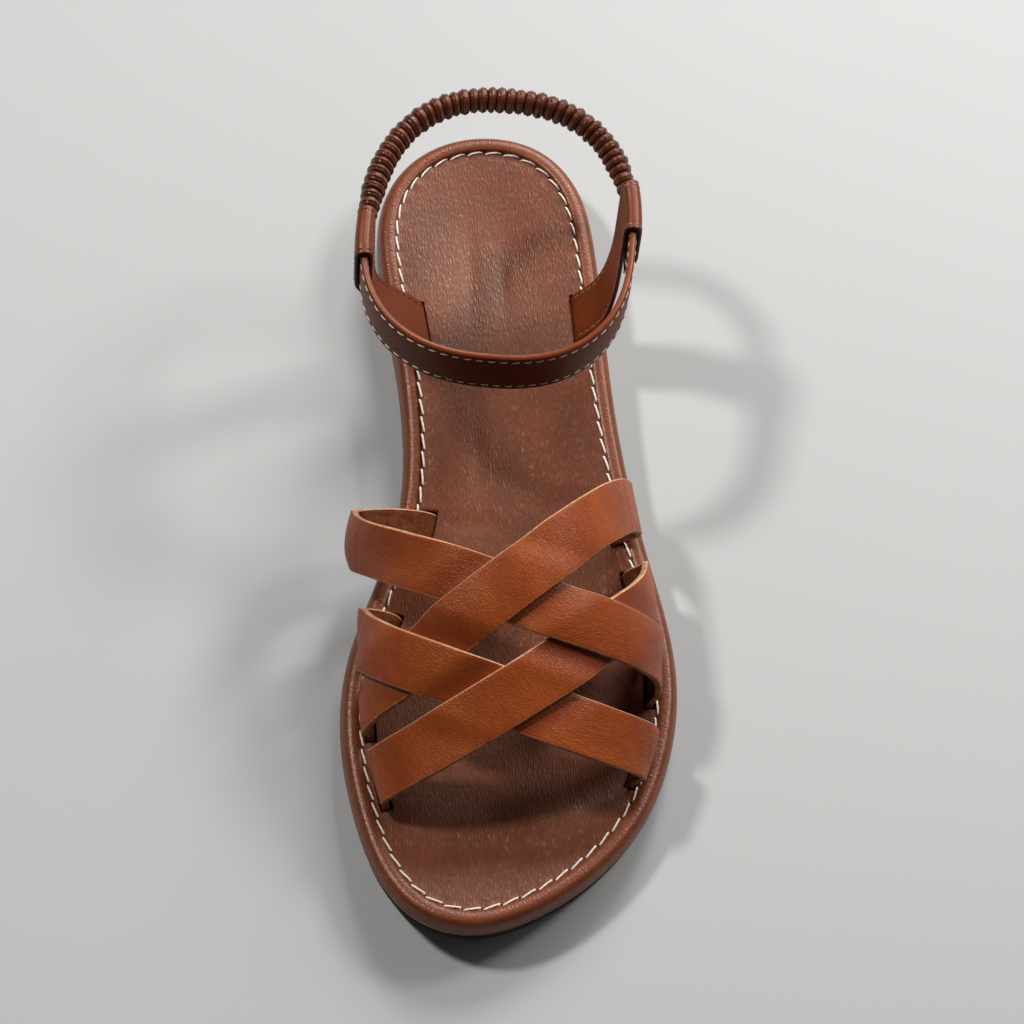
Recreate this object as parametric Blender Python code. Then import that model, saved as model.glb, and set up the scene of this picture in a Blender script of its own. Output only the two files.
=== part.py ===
"""A flat strappy leather sandal for the left foot, standing empty on its sole.

Metres, +Z up. The toe points along -Y, the heel along +Y, and the inner side of the foot is at -X.
Sizes are written in millimetres and become metres when a mesh is made.
"""
import math

import bmesh
import bpy
import numpy as np

MM = 0.001


def table(names, rows):
    """A short table of numbers, read by the names of its columns."""
    return dict(zip(names.split(), np.array(rows, dtype=float).T))


# Sizes of the sole
SIDE_STEPS = 36
PIECE_GAP = 0.3
OUTSOLE_THICK = 3.2
RECESS_DEPTH = 6.6
SEAM_INSET = 5.5
BED_DROP = 0.7
FILL_COLUMNS = 5
SPLINE_STEPS = 24

# Sizes of the vamp straps
STRAP_WIDTH = 15.5
STRAP_THICK = 2.0
STRAP_SECTIONS = 40
CROSSING_OVERLAP = 0.2
CROSSING_MARGIN = 1.0
CROSSING_RAMP = 5.5
SLOT_CLEARANCE = 0.35
SLOT_DEPTH = 4.2
CUTTER_DEPTH = 9.0
CUTTER_RISE = 3.2
CUTTER_SECTIONS = 7
COLUMN_SHARES = np.array([-1 / 2, -1 / 6, 1 / 6, 1 / 2])

# Sizes of the ankle strap
RING_X = 0.2
RING_Y = 56.0
RING_HALF_WIDTH = 36.9
RING_FRONT = 36.5
RING_BACK = 46.0
RING_SQUARE = 2.5
RING_TURN = -6.0
RING_HEIGHT = 70.0
RING_FRONT_DROP = 3.0
RING_BACK_RISE = 4.0
BAND_WIDTH = 15.5
BAND_THICK = 1.9
BAND_LEAN = 5.0
BAND_CORNER = 0.6
BAND_SECTIONS = 44
BAND_PAST_LOOP = 0.6
LOOP_WIDTH = 15.2
LOOP_THICK = 1.1
LOOP_EASE = 0.15
LOOP_ROUND = 0.6
LOOP_STRAIGHT = 3.0
LOOP_SECTIONS = 40
LEG_START = 1.5
LEG_FLARE = 7.5
LEG_RISE = 9.0
RIDGES = 46
RIDGE_SIDES = 10
RIDGE_HALF_THICK = 3.4
RIDGE_HALF_HEIGHT = 4.4
VALLEY_SHARE = 0.8
END_SHARE = 0.72
TAPER_RIDGES = 3

# Steps used to work out curves: points read along one, how much closer sections stand at a bend,
# and the small steps that give a surface's directions
DENSE_STEPS = 241
STRAP_BEND_WEIGHT = 12.0
LOOP_BEND_WEIGHT = 3.0
T_STEP = 0.01
ALONG_STEP = 0.2
SHARP_ANGLE = math.radians(40.0)

# The sole seen from above, from the heel round the outer side to the toe and back
SOLE_EDGE = table("across along", [
    (0.0, 124.0),
    (17.3, 119.2),
    (27.5, 106.8),
    (32.1, 87.0),
    (35.0, 49.0),
    (39.0, 16.0),
    (44.5, -11.0),
    (49.6, -34.0),
    (51.0, -52.0),
    (48.2, -71.0),
    (39.5, -92.0),
    (25.5, -108.0),
    (8.5, -119.3),
    (-8.5, -123.8),
    (-22.8, -119.3),
    (-33.5, -106.5),
    (-40.2, -87.0),
    (-43.5, -64.0),
    (-41.0, -40.5),
    (-33.2, -18.0),
    (-26.6, 4.0),
    (-25.2, 24.0),
    (-27.3, 50.0),
    (-31.4, 79.0),
    (-31.5, 97.0),
    (-26.8, 109.5),
    (-16.8, 119.3),
])
TOE_ROW = 13

# The sole seen from the side: its underside, flat at heel and ball, and the top of its rolled rim
SOLE_SIDE = table("along underside rim", [
    (-124.0, 5.5, 19.0),
    (-98.0, 1.6, 15.4),
    (-76.0, 0.0, 14.0),
    (-45.0, 0.0, 14.0),
    (-14.0, 0.0, 14.6),
    (20.0, 1.6, 16.8),
    (54.0, 0.0, 19.4),
    (90.0, 0.0, 20.6),
    (124.0, 0.0, 20.8),
])

# Soft hollows and pads of the footbed
BED_FORMS = table("across along half_wide half_long rise", [
    (-0.5, 92.0, 17.0, 24.0, -2.0),
    (-17.0, 26.0, 9.0, 30.0, 1.8),
    (5.0, -58.0, 22.0, 18.0, -1.2),
])

# Rings of the outsole: how far in from the edge and how far above the underside
OUTSOLE_WALL = table("inset lift", [
    (2.0, 0.0),
    (1.0, 0.8),
    (1.0, OUTSOLE_THICK),
])
# Rings of the midsole: how far in, the share of the way from its base to the rim, and a height added to that
MIDSOLE_WALL = table("inset share lift", [
    (1.8, 0.0, 0.0),
    (0.5, 0.0, 1.4),
    (0.0, 0.45, 0.0),
    (0.1, 1.0, -4.4),
    (0.9, 1.0, -2.2),
    (2.2, 1.0, -0.7),
    (3.6, 1.0, 0.0),
    (4.8, 1.0, -0.6),
    (SEAM_INSET, 1.0, -2.0),
    (SEAM_INSET, 1.0, -RECESS_DEPTH),
])
# Rings of the insole's edge: how far in and how far above the footbed
INSOLE_WALL = table("inset lift", [
    (SEAM_INSET + PIECE_GAP, -1.5),
    (6.8, -0.5),
    (8.6, 0.0),
])

# The last under the straps, a row for each station along the foot
LAST = table("along crown inner_bulge outer_bulge", [
    (-96.0, 22.0, -29.0, 34.0),
    (-80.0, 27.0, -33.0, 39.0),
    (-68.0, 31.5, -36.0, 42.5),
    (-44.0, 42.0, -37.0, 44.0),
    (-29.0, 46.0, -37.0, 43.0),
    (-14.0, 49.5, -40.7, 40.5),
    (6.0, 52.0, -37.0, 37.5),
    (24.0, 54.0, -36.0, 36.5),
])

# Half of a strap's path round the last, from its slot to the crown: shares of three widths, then heights
STRAP_PATH = table("slot bulge middle lift rise", [
    (1.0, 0.0, 0.0, -SLOT_DEPTH, 0.0),
    (1.0, 0.0, 0.0, 0.8, 0.0),
    (0.5, 0.5, 0.0, 3.6, 0.0),
    (0.0, 1.03, -0.03, 4.6, 0.04),
    (0.0, 1.01, -0.01, 5.0, 0.2),
    (0.0, 0.82, 0.18, 1.5, 0.62),
    (0.0, 0.44, 0.56, 0.5, 0.97),
    (0.0, 0.0, 1.0, 0.0, 1.07),
])

# A place along a strap counts these rows from its inner slot, over the crown, to its outer slot
LAST_T = 2.0 * (len(STRAP_PATH["lift"]) - 1)

# The four straps: where their slots lie along the foot and in from the edge, how far from each slot
# they start to cross, counted in rows of the path, and how far their crowns lean to the toe
STRAP_COLUMNS = ("inner", "outer", "inner_inset", "outer_inset", "inner_turn", "outer_turn", "lean")
STRAPS = {
    "rear_outer": dict(zip(STRAP_COLUMNS, (-59.5, -0.6, 8.5, 8.5, 3.0, 4.2, 16.0))),
    "rear_inner": dict(zip(STRAP_COLUMNS, (-6.4, -49.8, 11.5, 8.0, 1.5, 1.5, 14.5))),
    "front_inner": dict(zip(STRAP_COLUMNS, (-37.5, -74.0, 10.5, 8.0, 2.0, 3.0, 10.0))),
    "front_outer": dict(zip(STRAP_COLUMNS, (-80.0, -24.5, 9.0, 8.5, 3.2, 2.5, 11.0))),
}
# Which strap lies over which
CROSSINGS = [
    ("rear_outer", "rear_inner"),
    ("front_inner", "rear_outer"),
    ("rear_inner", "front_outer"),
    ("front_outer", "front_inner"),
]

# The two quarter straps: where their slots lie and where their loops hold the ankle strap
QUARTERS = {
    "quarter_strap_inner": {"side": "inner", "inset": 10.6, "slot_along": 59.0, "loop_along": 57.0},
    "quarter_strap_outer": {"side": "outer", "inset": 9.2, "slot_along": 62.0, "loop_along": 65.0},
}
OUTWARD = {"inner": -1.0, "outer": 1.0}
LEG_OUT = BAND_THICK / 2 + PIECE_GAP + LOOP_EASE + LOOP_THICK / 2
LEG_TOP = BAND_WIDTH / 2 + PIECE_GAP + LOOP_EASE + LOOP_THICK / 2
FLAP_OUT = LOOP_THICK + PIECE_GAP - LEG_OUT

# The loop over the ankle strap, outward and up from the middle of the strap: the leg comes up inside it,
# turns over its top, and ends as a flap that lies on the leg below it
LOOP_FOLD = table("out up", [
    (-LEG_OUT - 0.4, -30.0),
    (-LEG_OUT, -20.0),
    (-LEG_OUT, -9.0),
    (-LEG_OUT, LEG_TOP - LOOP_STRAIGHT),
    (-LEG_OUT, LEG_TOP + LOOP_ROUND),
    (LEG_OUT, LEG_TOP + LOOP_ROUND),
    (LEG_OUT, LEG_TOP - LOOP_STRAIGHT),
    (LEG_OUT, -6.0),
    (LEG_OUT, -9.8),
    (FLAP_OUT + 0.5, -12.6),
    (FLAP_OUT + 0.1, -16.0),
])

# Colour and roughness of each piece's material; none of them is metal
LOOKS = {
    "outsole": {"colour": (0.02, 0.015, 0.012), "roughness": 0.75},
    "midsole": {"colour": (0.14, 0.045, 0.025), "roughness": 0.45},
    "insole": {"colour": (0.13, 0.042, 0.022), "roughness": 0.5},
    "vamp_upper": {"colour": (0.27, 0.09, 0.03), "roughness": 0.45},
    "quarter_strap_inner": {"colour": (0.17, 0.055, 0.026), "roughness": 0.5},
    "quarter_strap_outer": {"colour": (0.17, 0.055, 0.026), "roughness": 0.5},
    "instep_band": {"colour": (0.14, 0.045, 0.024), "roughness": 0.5},
    "heel_strap": {"colour": (0.12, 0.036, 0.018), "roughness": 0.4},
}
METALLIC = 0.0


def unit(vectors):
    return vectors / np.linalg.norm(vectors, axis=-1, keepdims=True)


def smooth_through(places, values):
    """A curve through a table's rows that never swings past them."""
    spans = np.diff(places)
    slopes = np.diff(values) / spans
    tangents = np.empty_like(values)
    tangents[0] = slopes[0]
    tangents[-1] = slopes[-1]
    for row in range(1, len(values) - 1):
        before, after = slopes[row - 1], slopes[row]
        if before * after <= 0:
            tangents[row] = 0.0
            continue
        weight_before = 2 * spans[row] + spans[row - 1]
        weight_after = spans[row] + 2 * spans[row - 1]
        tangents[row] = (weight_before + weight_after) / (weight_before / before + weight_after / after)

    def curve(place):
        place = np.clip(place, places[0], places[-1])
        row = np.clip(np.searchsorted(places, place) - 1, 0, len(spans) - 1)
        t = (place - places[row]) / spans[row]
        return (
            values[row] * (2 * t**3 - 3 * t**2 + 1)
            + tangents[row] * spans[row] * (t**3 - 2 * t**2 + t)
            + values[row + 1] * (3 * t**2 - 2 * t**3)
            + tangents[row + 1] * spans[row] * (t**3 - t**2)
        )

    return curve


underside_at = smooth_through(SOLE_SIDE["along"], SOLE_SIDE["underside"])
rim_at = smooth_through(SOLE_SIDE["along"], SOLE_SIDE["rim"])
crown_at = smooth_through(LAST["along"], LAST["crown"])
bulge_at = {
    "inner": smooth_through(LAST["along"], LAST["inner_bulge"]),
    "outer": smooth_through(LAST["along"], LAST["outer_bulge"]),
}


def closed_spline(points, steps):
    """A smooth closed curve through the points, evenly bent where they join."""
    count = len(points)
    ahead = np.roll(points, -1, axis=0)
    spans = np.linalg.norm(ahead - points, axis=1)
    slopes = (ahead - points) / spans[:, None]
    matrix = np.zeros((count, count))
    for row in range(count):
        matrix[row, row - 1] += spans[row - 1]
        matrix[row, row] += 2 * (spans[row - 1] + spans[row])
        matrix[row, (row + 1) % count] += spans[row]
    bends = np.linalg.solve(matrix, 6 * (slopes - np.roll(slopes, 1, axis=0)))
    curve = []
    for row in range(count):
        span = spans[row]
        following = (row + 1) % count
        for t in np.arange(steps) / steps * span:
            rest = span - t
            curve.append(
                (bends[row] * rest**3 + bends[following] * t**3) / (6 * span)
                + (points[row] / span - bends[row] * span / 6) * rest
                + (points[following] / span - bends[following] * span / 6) * t
            )
    return np.array(curve)


def lengths_along(points):
    steps = np.linalg.norm(np.diff(points, axis=0), axis=1)
    return np.concatenate([[0.0], np.cumsum(steps)])


def even_points(points, count):
    """Points evenly spaced along an open line, ends included."""
    lengths = lengths_along(points)
    places = np.linspace(0.0, lengths[-1], count)
    return np.column_stack([np.interp(places, lengths, points[:, axis]) for axis in range(points.shape[1])])


def sole_edge():
    """The sole's edge from the heel round the outer side to the toe and back, and its inward directions."""
    rows = np.column_stack([SOLE_EDGE["across"], SOLE_EDGE["along"]])
    curve = closed_spline(rows, SPLINE_STEPS)
    toe = TOE_ROW * SPLINE_STEPS
    outer_side = even_points(curve[: toe + 1], SIDE_STEPS + 1)
    inner_side = even_points(np.vstack([curve[toe:], curve[:1]]), SIDE_STEPS + 1)
    edge = np.vstack([outer_side[:-1], inner_side[:-1]])
    tangents = unit(np.roll(edge, -1, axis=0) - np.roll(edge, 1, axis=0))
    inward = np.column_stack([tangents[:, 1], -tangents[:, 0]])
    return edge, inward


EDGE, EDGE_INWARD = sole_edge()


def edge_line(inset):
    return EDGE + EDGE_INWARD * inset


def bed_height(across, along):
    """The top of the footbed."""
    height = rim_at(along) - BED_DROP
    for middle_x, middle_y, wide, long, rise in zip(*BED_FORMS.values()):
        apart = ((across - middle_x) / wide) ** 2 + ((along - middle_y) / long) ** 2
        height = height + rise * np.exp(-apart / 2)
    return height


def slot_across(side, along, inset):
    """How far across the foot a slot lies, set in from the sole's edge on this side."""
    line = edge_line(inset)
    chosen = line[: SIDE_STEPS + 1] if side == "outer" else line[SIDE_STEPS:]
    order = np.argsort(chosen[:, 1])
    return np.interp(along, chosen[order, 1], chosen[order, 0])


class Shell:
    """Points and faces of one closed solid."""

    def __init__(self):
        self.points = []
        self.faces = []

    def add(self, points):
        first = len(self.points)
        self.points.extend(np.asarray(points, dtype=float))
        return list(range(first, first + len(points)))

    def join(self, ring, next_ring):
        """Faces between two closed rings."""
        for i in range(len(ring)):
            j = (i + 1) % len(ring)
            self.faces.append((ring[i], ring[j], next_ring[j], next_ring[i]))

    def fill(self, ring, height):
        """A surface across a sole-shaped ring, in rows from its outer to its inner side."""
        corners = np.array([self.points[i] for i in ring])
        shares = np.linspace(0.0, 1.0, FILL_COLUMNS + 2)[1:-1, None]
        rows = []
        for step in range(1, SIDE_STEPS):
            outer, inner = step, len(ring) - step
            flat = corners[outer, :2] * (1 - shares) + corners[inner, :2] * shares
            middle = np.column_stack([flat, height(flat[:, 0], flat[:, 1])])
            rows.append([ring[outer], *self.add(middle), ring[inner]])
        for row, next_row in zip(rows, rows[1:]):
            for i in range(len(row) - 1):
                self.faces.append((row[i], row[i + 1], next_row[i + 1], next_row[i]))
        for tip, row in ((ring[0], rows[0]), (ring[SIDE_STEPS], rows[-1])):
            for i in range(len(row) - 1):
                self.faces.append((tip, row[i], row[i + 1]))

    def tube(self, rings):
        """Joined rings with both ends closed."""
        added = [self.add(ring) for ring in rings]
        for ring, next_ring in zip(added, added[1:]):
            self.join(ring, next_ring)
        self.faces.append(tuple(added[0]))
        self.faces.append(tuple(reversed(added[-1])))
        return self


def wall_ring(inset, height):
    line = edge_line(inset)
    return np.column_stack([line, height(line[:, 0], line[:, 1])])


def make_outsole():
    shell = Shell()
    rings = []
    for inset, lift in zip(*OUTSOLE_WALL.values()):
        rings.append(shell.add(wall_ring(inset, lambda x, y: underside_at(y) + lift)))
    for ring, next_ring in zip(rings, rings[1:]):
        shell.join(ring, next_ring)
    shell.fill(rings[0], lambda x, y: underside_at(y))
    shell.fill(rings[-1], lambda x, y: underside_at(y) + OUTSOLE_THICK)
    return shell


def make_midsole():
    def base_at(along):
        return underside_at(along) + OUTSOLE_THICK + PIECE_GAP

    shell = Shell()
    rings = []
    for inset, share, lift in zip(*MIDSOLE_WALL.values()):
        def height(x, y):
            return base_at(y) * (1 - share) + rim_at(y) * share + lift
        rings.append(shell.add(wall_ring(inset, height)))
    for ring, next_ring in zip(rings, rings[1:]):
        shell.join(ring, next_ring)
    shell.fill(rings[0], lambda x, y: base_at(y))
    shell.fill(rings[-1], lambda x, y: rim_at(y) - RECESS_DEPTH)
    return shell


def make_insole():
    def floor(x, y):
        return rim_at(y) - RECESS_DEPTH + PIECE_GAP

    shell = Shell()
    rings = [shell.add(wall_ring(SEAM_INSET + PIECE_GAP, floor))]
    for inset, lift in zip(*INSOLE_WALL.values()):
        rings.append(shell.add(wall_ring(inset, lambda x, y: bed_height(x, y) + lift)))
    for ring, next_ring in zip(rings, rings[1:]):
        shell.join(ring, next_ring)
    shell.fill(rings[0], floor)
    shell.fill(rings[-1], bed_height)
    return shell


def spline_weights(t, count):
    """How much each control row counts at a place along a path, end rows carried straight on."""
    apart = np.abs(np.asarray(t)[..., None] - np.arange(-1, count + 1))
    near = (4 - 6 * apart**2 + 3 * apart**3) / 6
    far = (2 - apart) ** 3 / 6
    return np.where(apart < 1, near, np.where(apart < 2, far, 0.0))


def carry_on(controls):
    """The control rows with one more at each end, straight on."""
    first = 2 * controls[..., :1, :] - controls[..., 1:2, :]
    last = 2 * controls[..., -1:, :] - controls[..., -2:-1, :]
    return np.concatenate([first, controls, last], axis=-2)


def last_point(strap, t, along, slot_depth=SLOT_DEPTH):
    """A point of the strap's path surface: t counts control rows from the inner slot to the outer one."""
    along = np.asarray(along, dtype=float)
    base = rim_at(along) - BED_DROP
    crown = crown_at(along)
    middle = (bulge_at["inner"](along) + bulge_at["outer"](along)) / 2
    lifts = STRAP_PATH["lift"].copy()
    lifts[0] = -slot_depth
    halves = []
    for side in ("inner", "outer"):
        slot = slot_across(side, along, strap[side + "_inset"])
        across = (
            slot[..., None] * STRAP_PATH["slot"]
            + bulge_at[side](along)[..., None] * STRAP_PATH["bulge"]
            + middle[..., None] * STRAP_PATH["middle"]
        )
        height = base[..., None] + lifts + crown[..., None] * STRAP_PATH["rise"]
        halves.append(np.stack([across, height], axis=-1))
    controls = np.concatenate([halves[0], halves[1][..., -2::-1, :]], axis=-2)
    weights = spline_weights(t, controls.shape[-2])
    flat = np.einsum("...c,...cd->...d", weights, carry_on(controls))
    return np.stack([flat[..., 0], along, flat[..., 1]], axis=-1)


def surface_frame(strap, t, along):
    """Directions of the path surface at a place: along its rows, along the foot, and outward."""
    by_t = (last_point(strap, t + T_STEP, along) - last_point(strap, t - T_STEP, along)) / (2 * T_STEP)
    by_along = last_point(strap, t, along + ALONG_STEP) - last_point(strap, t, along - ALONG_STEP)
    by_along = by_along / (2 * ALONG_STEP)
    return by_t, by_along, unit(np.cross(by_t, by_along))


def strap_along(strap, t):
    """Where along the foot the strap's middle line is: slot to slot, its crown leaning to the toe."""
    span = LAST_T - strap["inner_turn"] - strap["outer_turn"]
    share = np.clip((t - strap["inner_turn"]) / span, 0.0, 1.0)
    eased = share * share * (3 - 2 * share)
    rises = np.concatenate([STRAP_PATH["rise"], STRAP_PATH["rise"][-2::-1]])
    rise = spline_weights(t, len(rises)) @ carry_on(rises[:, None])
    return strap["inner"] * (1 - eased) + strap["outer"] * eased - strap["lean"] * rise[..., 0]


def strap_line(strap, sections):
    """Places along a strap's middle line, closer together where it bends."""
    t = np.linspace(0.0, LAST_T, DENSE_STEPS)
    points = last_point(strap, t, strap_along(strap, t))
    directions = unit(np.gradient(points, axis=0))
    turns = np.linalg.norm(np.diff(directions, axis=0), axis=1)
    steps = np.linalg.norm(np.diff(points, axis=0), axis=1)
    spread = np.concatenate([[0.0], np.cumsum(steps + STRAP_BEND_WEIGHT * turns)])
    return np.interp(np.linspace(0.0, spread[-1], sections), spread, t)


def strap_places(strap, t, offsets):
    """Places on the path surface at these offsets across the strap, a row for each section."""
    along = strap_along(strap, t)
    along_slope = (strap_along(strap, t + T_STEP) - strap_along(strap, t - T_STEP)) / (2 * T_STEP)
    by_t, by_along, _ = surface_frame(strap, t, along)
    size_t = np.sum(by_t * by_t, axis=1)
    mixed = np.sum(by_t * by_along, axis=1)
    size_along = np.sum(by_along * by_along, axis=1)
    turn_t = -(mixed + size_along * along_slope)
    turn_along = size_t + mixed * along_slope
    scale = np.sqrt(size_t * turn_t**2 + 2 * mixed * turn_t * turn_along + size_along * turn_along**2)
    side_t = (turn_t / scale)[:, None] * offsets
    side_along = (turn_along / scale)[:, None] * offsets
    return np.clip(t[:, None] + side_t, 0.0, LAST_T), along[:, None] + side_along


def line_distance(points, line):
    """How far each point is from a line of short straight steps."""
    starts = line[:-1]
    steps = line[1:] - starts
    apart = points[..., None, :] - starts
    share = np.clip(np.sum(apart * steps, axis=-1) / np.sum(steps * steps, axis=-1), 0.0, 1.0)
    return np.min(np.linalg.norm(apart - share[..., None] * steps, axis=-1), axis=-1)


def strap_centre(strap):
    t = np.linspace(0.0, LAST_T, DENSE_STEPS)
    return last_point(strap, t, strap_along(strap, t))


def crossing_lift(name, points):
    """How far the weave lifts or lowers a strap at these points."""
    lift = np.zeros(points.shape[:-1])
    height = (STRAP_THICK - CROSSING_OVERLAP) / 2
    for over, under in CROSSINGS:
        if name not in (over, under):
            continue
        other = under if name == over else over
        sign = 1.0 if name == over else -1.0
        apart = line_distance(points, strap_centre(STRAPS[other]))
        ramp = np.clip((apart - STRAP_WIDTH / 2 - CROSSING_MARGIN) / CROSSING_RAMP, 0.0, 1.0)
        lift += sign * height * (1 - ramp * ramp * (3 - 2 * ramp))
    return lift


def make_strap(name):
    """One woven strap, from slot to slot."""
    strap = STRAPS[name]
    t, along = strap_places(strap, strap_line(strap, STRAP_SECTIONS), STRAP_WIDTH * COLUMN_SHARES)
    middle = last_point(strap, t, along)
    outward = surface_frame(strap, t, along)[2]
    lift = crossing_lift(name, middle)[..., None]
    top = middle + outward * (lift + STRAP_THICK / 2)
    bottom = middle + outward * (lift - STRAP_THICK / 2)
    return Shell().tube(np.concatenate([top, bottom[:, ::-1]], axis=1))


def make_slot_cutter(name, side):
    """The slot a strap's end goes down through, a little larger all round than the strap."""
    strap = STRAPS[name]
    line = strap_line(strap, DENSE_STEPS)
    base = rim_at(strap_along(strap, line)) - BED_DROP
    height = last_point(strap, line, strap_along(strap, line))[:, 2] - base
    half = line < LAST_T / 2 if side == "inner" else line > LAST_T / 2
    chosen = line[half & (height < CUTTER_RISE)]
    chosen = np.interp(np.linspace(0, 1, CUTTER_SECTIONS), np.linspace(0, 1, len(chosen)), chosen)
    half_thick = STRAP_THICK / 2 + SLOT_CLEARANCE
    t, along = strap_places(strap, chosen, (STRAP_WIDTH + 2 * SLOT_CLEARANCE) * COLUMN_SHARES)
    middle = last_point(strap, t, along)
    outward = surface_frame(strap, t, along)[2]
    rings = np.concatenate([middle + outward * half_thick, (middle - outward * half_thick)[:, ::-1]], axis=1)
    foot = rings[0 if side == "inner" else -1].copy()
    foot[:, 2] -= CUTTER_DEPTH - SLOT_DEPTH
    rings = [foot, *rings] if side == "inner" else [*rings, foot]
    return Shell().tube(rings)


def ring_point(angle):
    """The middle of the ankle strap: 0 at the outer side, a quarter turn at the back of the heel."""
    angle = np.asarray(angle, dtype=float)
    cosine, sine = np.cos(angle), np.sin(angle)
    stretch = (np.abs(cosine) ** RING_SQUARE + np.abs(sine) ** RING_SQUARE) ** (-1 / RING_SQUARE)
    reach = np.where(sine > 0, RING_BACK, RING_FRONT)
    height = (
        RING_HEIGHT
        + RING_BACK_RISE * np.maximum(sine, 0.0) ** 2
        - RING_FRONT_DROP * np.minimum(sine, 0.0) ** 2
    )
    across = RING_HALF_WIDTH * cosine * stretch
    along = reach * sine * stretch
    turn = math.radians(RING_TURN)
    return np.stack([
        RING_X + across * math.cos(turn) - along * math.sin(turn),
        RING_Y + across * math.sin(turn) + along * math.cos(turn),
        height,
    ], axis=-1)


def ring_angle(side, along):
    """The place on the ankle strap at this distance along the foot, on one side."""
    angles = np.linspace(-math.pi / 4, math.pi / 4, DENSE_STEPS)
    if side == "inner":
        angles = math.pi - angles
    return float(np.interp(along, ring_point(angles)[:, 1], angles))


def ring_frame(angle):
    ahead = unit(ring_point(angle + T_STEP) - ring_point(angle - T_STEP))
    up = np.broadcast_to(np.array([0.0, 0.0, 1.0]), ahead.shape)
    outward = unit(np.cross(ahead, up))
    return outward, np.cross(outward, ahead)


def even_angles(start, end, count):
    dense = np.linspace(start, end, DENSE_STEPS)
    lengths = lengths_along(ring_point(dense))
    return np.interp(np.linspace(0.0, lengths[-1], count), lengths, dense)


def loop_ends(past):
    """Angles a little past the rear end of each quarter strap's loop."""
    ends = {}
    for quarter in QUARTERS.values():
        ends[quarter["side"]] = ring_angle(quarter["side"], quarter["loop_along"] + LOOP_WIDTH / 2 + past)
    return ends


def make_instep_band():
    """The band from one loop round the front of the ankle to the other, its top leaning back."""
    ends = loop_ends(BAND_PAST_LOOP)
    angles = even_angles(ends["inner"], ends["outer"] + 2 * math.pi, BAND_SECTIONS)
    middle = ring_point(angles)
    outward, up = ring_frame(angles)
    lean = np.radians(BAND_LEAN) * np.minimum(np.sin(angles), 0.0) ** 2
    face = outward * np.cos(lean)[:, None] + up * np.sin(lean)[:, None]
    rise = up * np.cos(lean)[:, None] - outward * np.sin(lean)[:, None]
    half_wide, half_thick = BAND_WIDTH / 2, BAND_THICK / 2
    flat_wide, flat_thick = half_wide - BAND_CORNER, half_thick - BAND_CORNER
    section = [
        (half_thick, -flat_wide),
        (half_thick, flat_wide),
        (flat_thick, half_wide),
        (-flat_thick, half_wide),
        (-half_thick, flat_wide),
        (-half_thick, -flat_wide),
        (-flat_thick, -half_wide),
        (flat_thick, -half_wide),
    ]
    rings = []
    for place, out_way, up_way in zip(middle, face, rise):
        rings.append([place + out_way * out + up_way * high for out, high in section])
    return Shell().tube(rings)


def make_heel_strap():
    """The gathered elastic strap round the back of the heel, a ridge and a valley at each gather."""
    ends = loop_ends(BAND_PAST_LOOP + PIECE_GAP)
    angles = even_angles(ends["outer"], ends["inner"], 2 * RIDGES + 1)
    middle = ring_point(angles)
    outward, up = ring_frame(angles)
    turn = np.arange(RIDGE_SIDES) * 2 * np.pi / RIDGE_SIDES
    rings = []
    for i, (place, out_way, up_way) in enumerate(zip(middle, outward, up)):
        from_end = min(i, 2 * RIDGES - i) / 2
        size = END_SHARE + (1 - END_SHARE) * min(1.0, from_end / TAPER_RIDGES)
        if i % 2 == 0:
            size *= VALLEY_SHARE
        out = np.outer(np.cos(turn) * RIDGE_HALF_THICK * size, out_way)
        rings.append(place + out + np.outer(np.sin(turn) * RIDGE_HALF_HEIGHT * size, up_way))
    return Shell().tube(rings)


def quarter_controls(quarter, slot_depth, offset):
    """Control rows of one line of a quarter strap: up from its slot, flaring, and over the ankle strap."""
    side = quarter["side"]
    angle = ring_angle(side, quarter["loop_along"] + offset)
    hub = ring_point(angle)
    outward = ring_frame(np.array([angle]))[0][0]
    along = quarter["slot_along"] + offset
    across = float(slot_across(side, along, quarter["inset"]))
    slot = np.array([across, along, bed_height(across, along)])
    rows = [
        slot - (0.0, 0.0, slot_depth),
        slot + (0.0, 0.0, LEG_START),
        slot + (OUTWARD[side] * LEG_FLARE, 0.0, LEG_RISE),
    ]
    for out, up in zip(*LOOP_FOLD.values()):
        rows.append(hub + outward * out + np.array([0.0, 0.0, up]))
    return np.array(rows)


def quarter_places(controls, sections):
    """Places along a quarter strap's middle line, closer together where it bends."""
    count = len(controls)
    dense = np.linspace(0.0, count - 1, DENSE_STEPS)
    points = spline_weights(dense, count) @ carry_on(controls)
    directions = unit(np.gradient(points, axis=0))
    turns = np.linalg.norm(np.diff(directions, axis=0), axis=1)
    steps = np.linalg.norm(np.diff(points, axis=0), axis=1)
    spread = np.concatenate([[0.0], np.cumsum(steps + LOOP_BEND_WEIGHT * turns)])
    return np.interp(np.linspace(0.0, spread[-1], sections), spread, dense)


def quarter_tube(quarter, slot_depth, clearance, sections, top=None):
    """A quarter strap, or the slot for it, as rows of sections with four lines across."""
    offsets = (LOOP_WIDTH + 2 * clearance) * COLUMN_SHARES
    places = quarter_places(quarter_controls(quarter, slot_depth, 0.0), sections)
    lines = []
    for offset in offsets:
        controls = quarter_controls(quarter, slot_depth, offset)
        lines.append(spline_weights(places, len(controls)) @ carry_on(controls))
    surface = np.stack(lines, axis=1)
    if top is not None:
        surface = surface[: np.searchsorted(surface[: sections // 2, 0, 2], top)]
    outward = unit(np.cross(np.gradient(surface, axis=0), np.gradient(surface, axis=1)))
    half = outward * (LOOP_THICK / 2 + clearance)
    return Shell().tube(np.concatenate([surface + half, (surface - half)[:, ::-1]], axis=1))


def make_quarter(name):
    return quarter_tube(QUARTERS[name], SLOT_DEPTH, 0.0, LOOP_SECTIONS)


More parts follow.
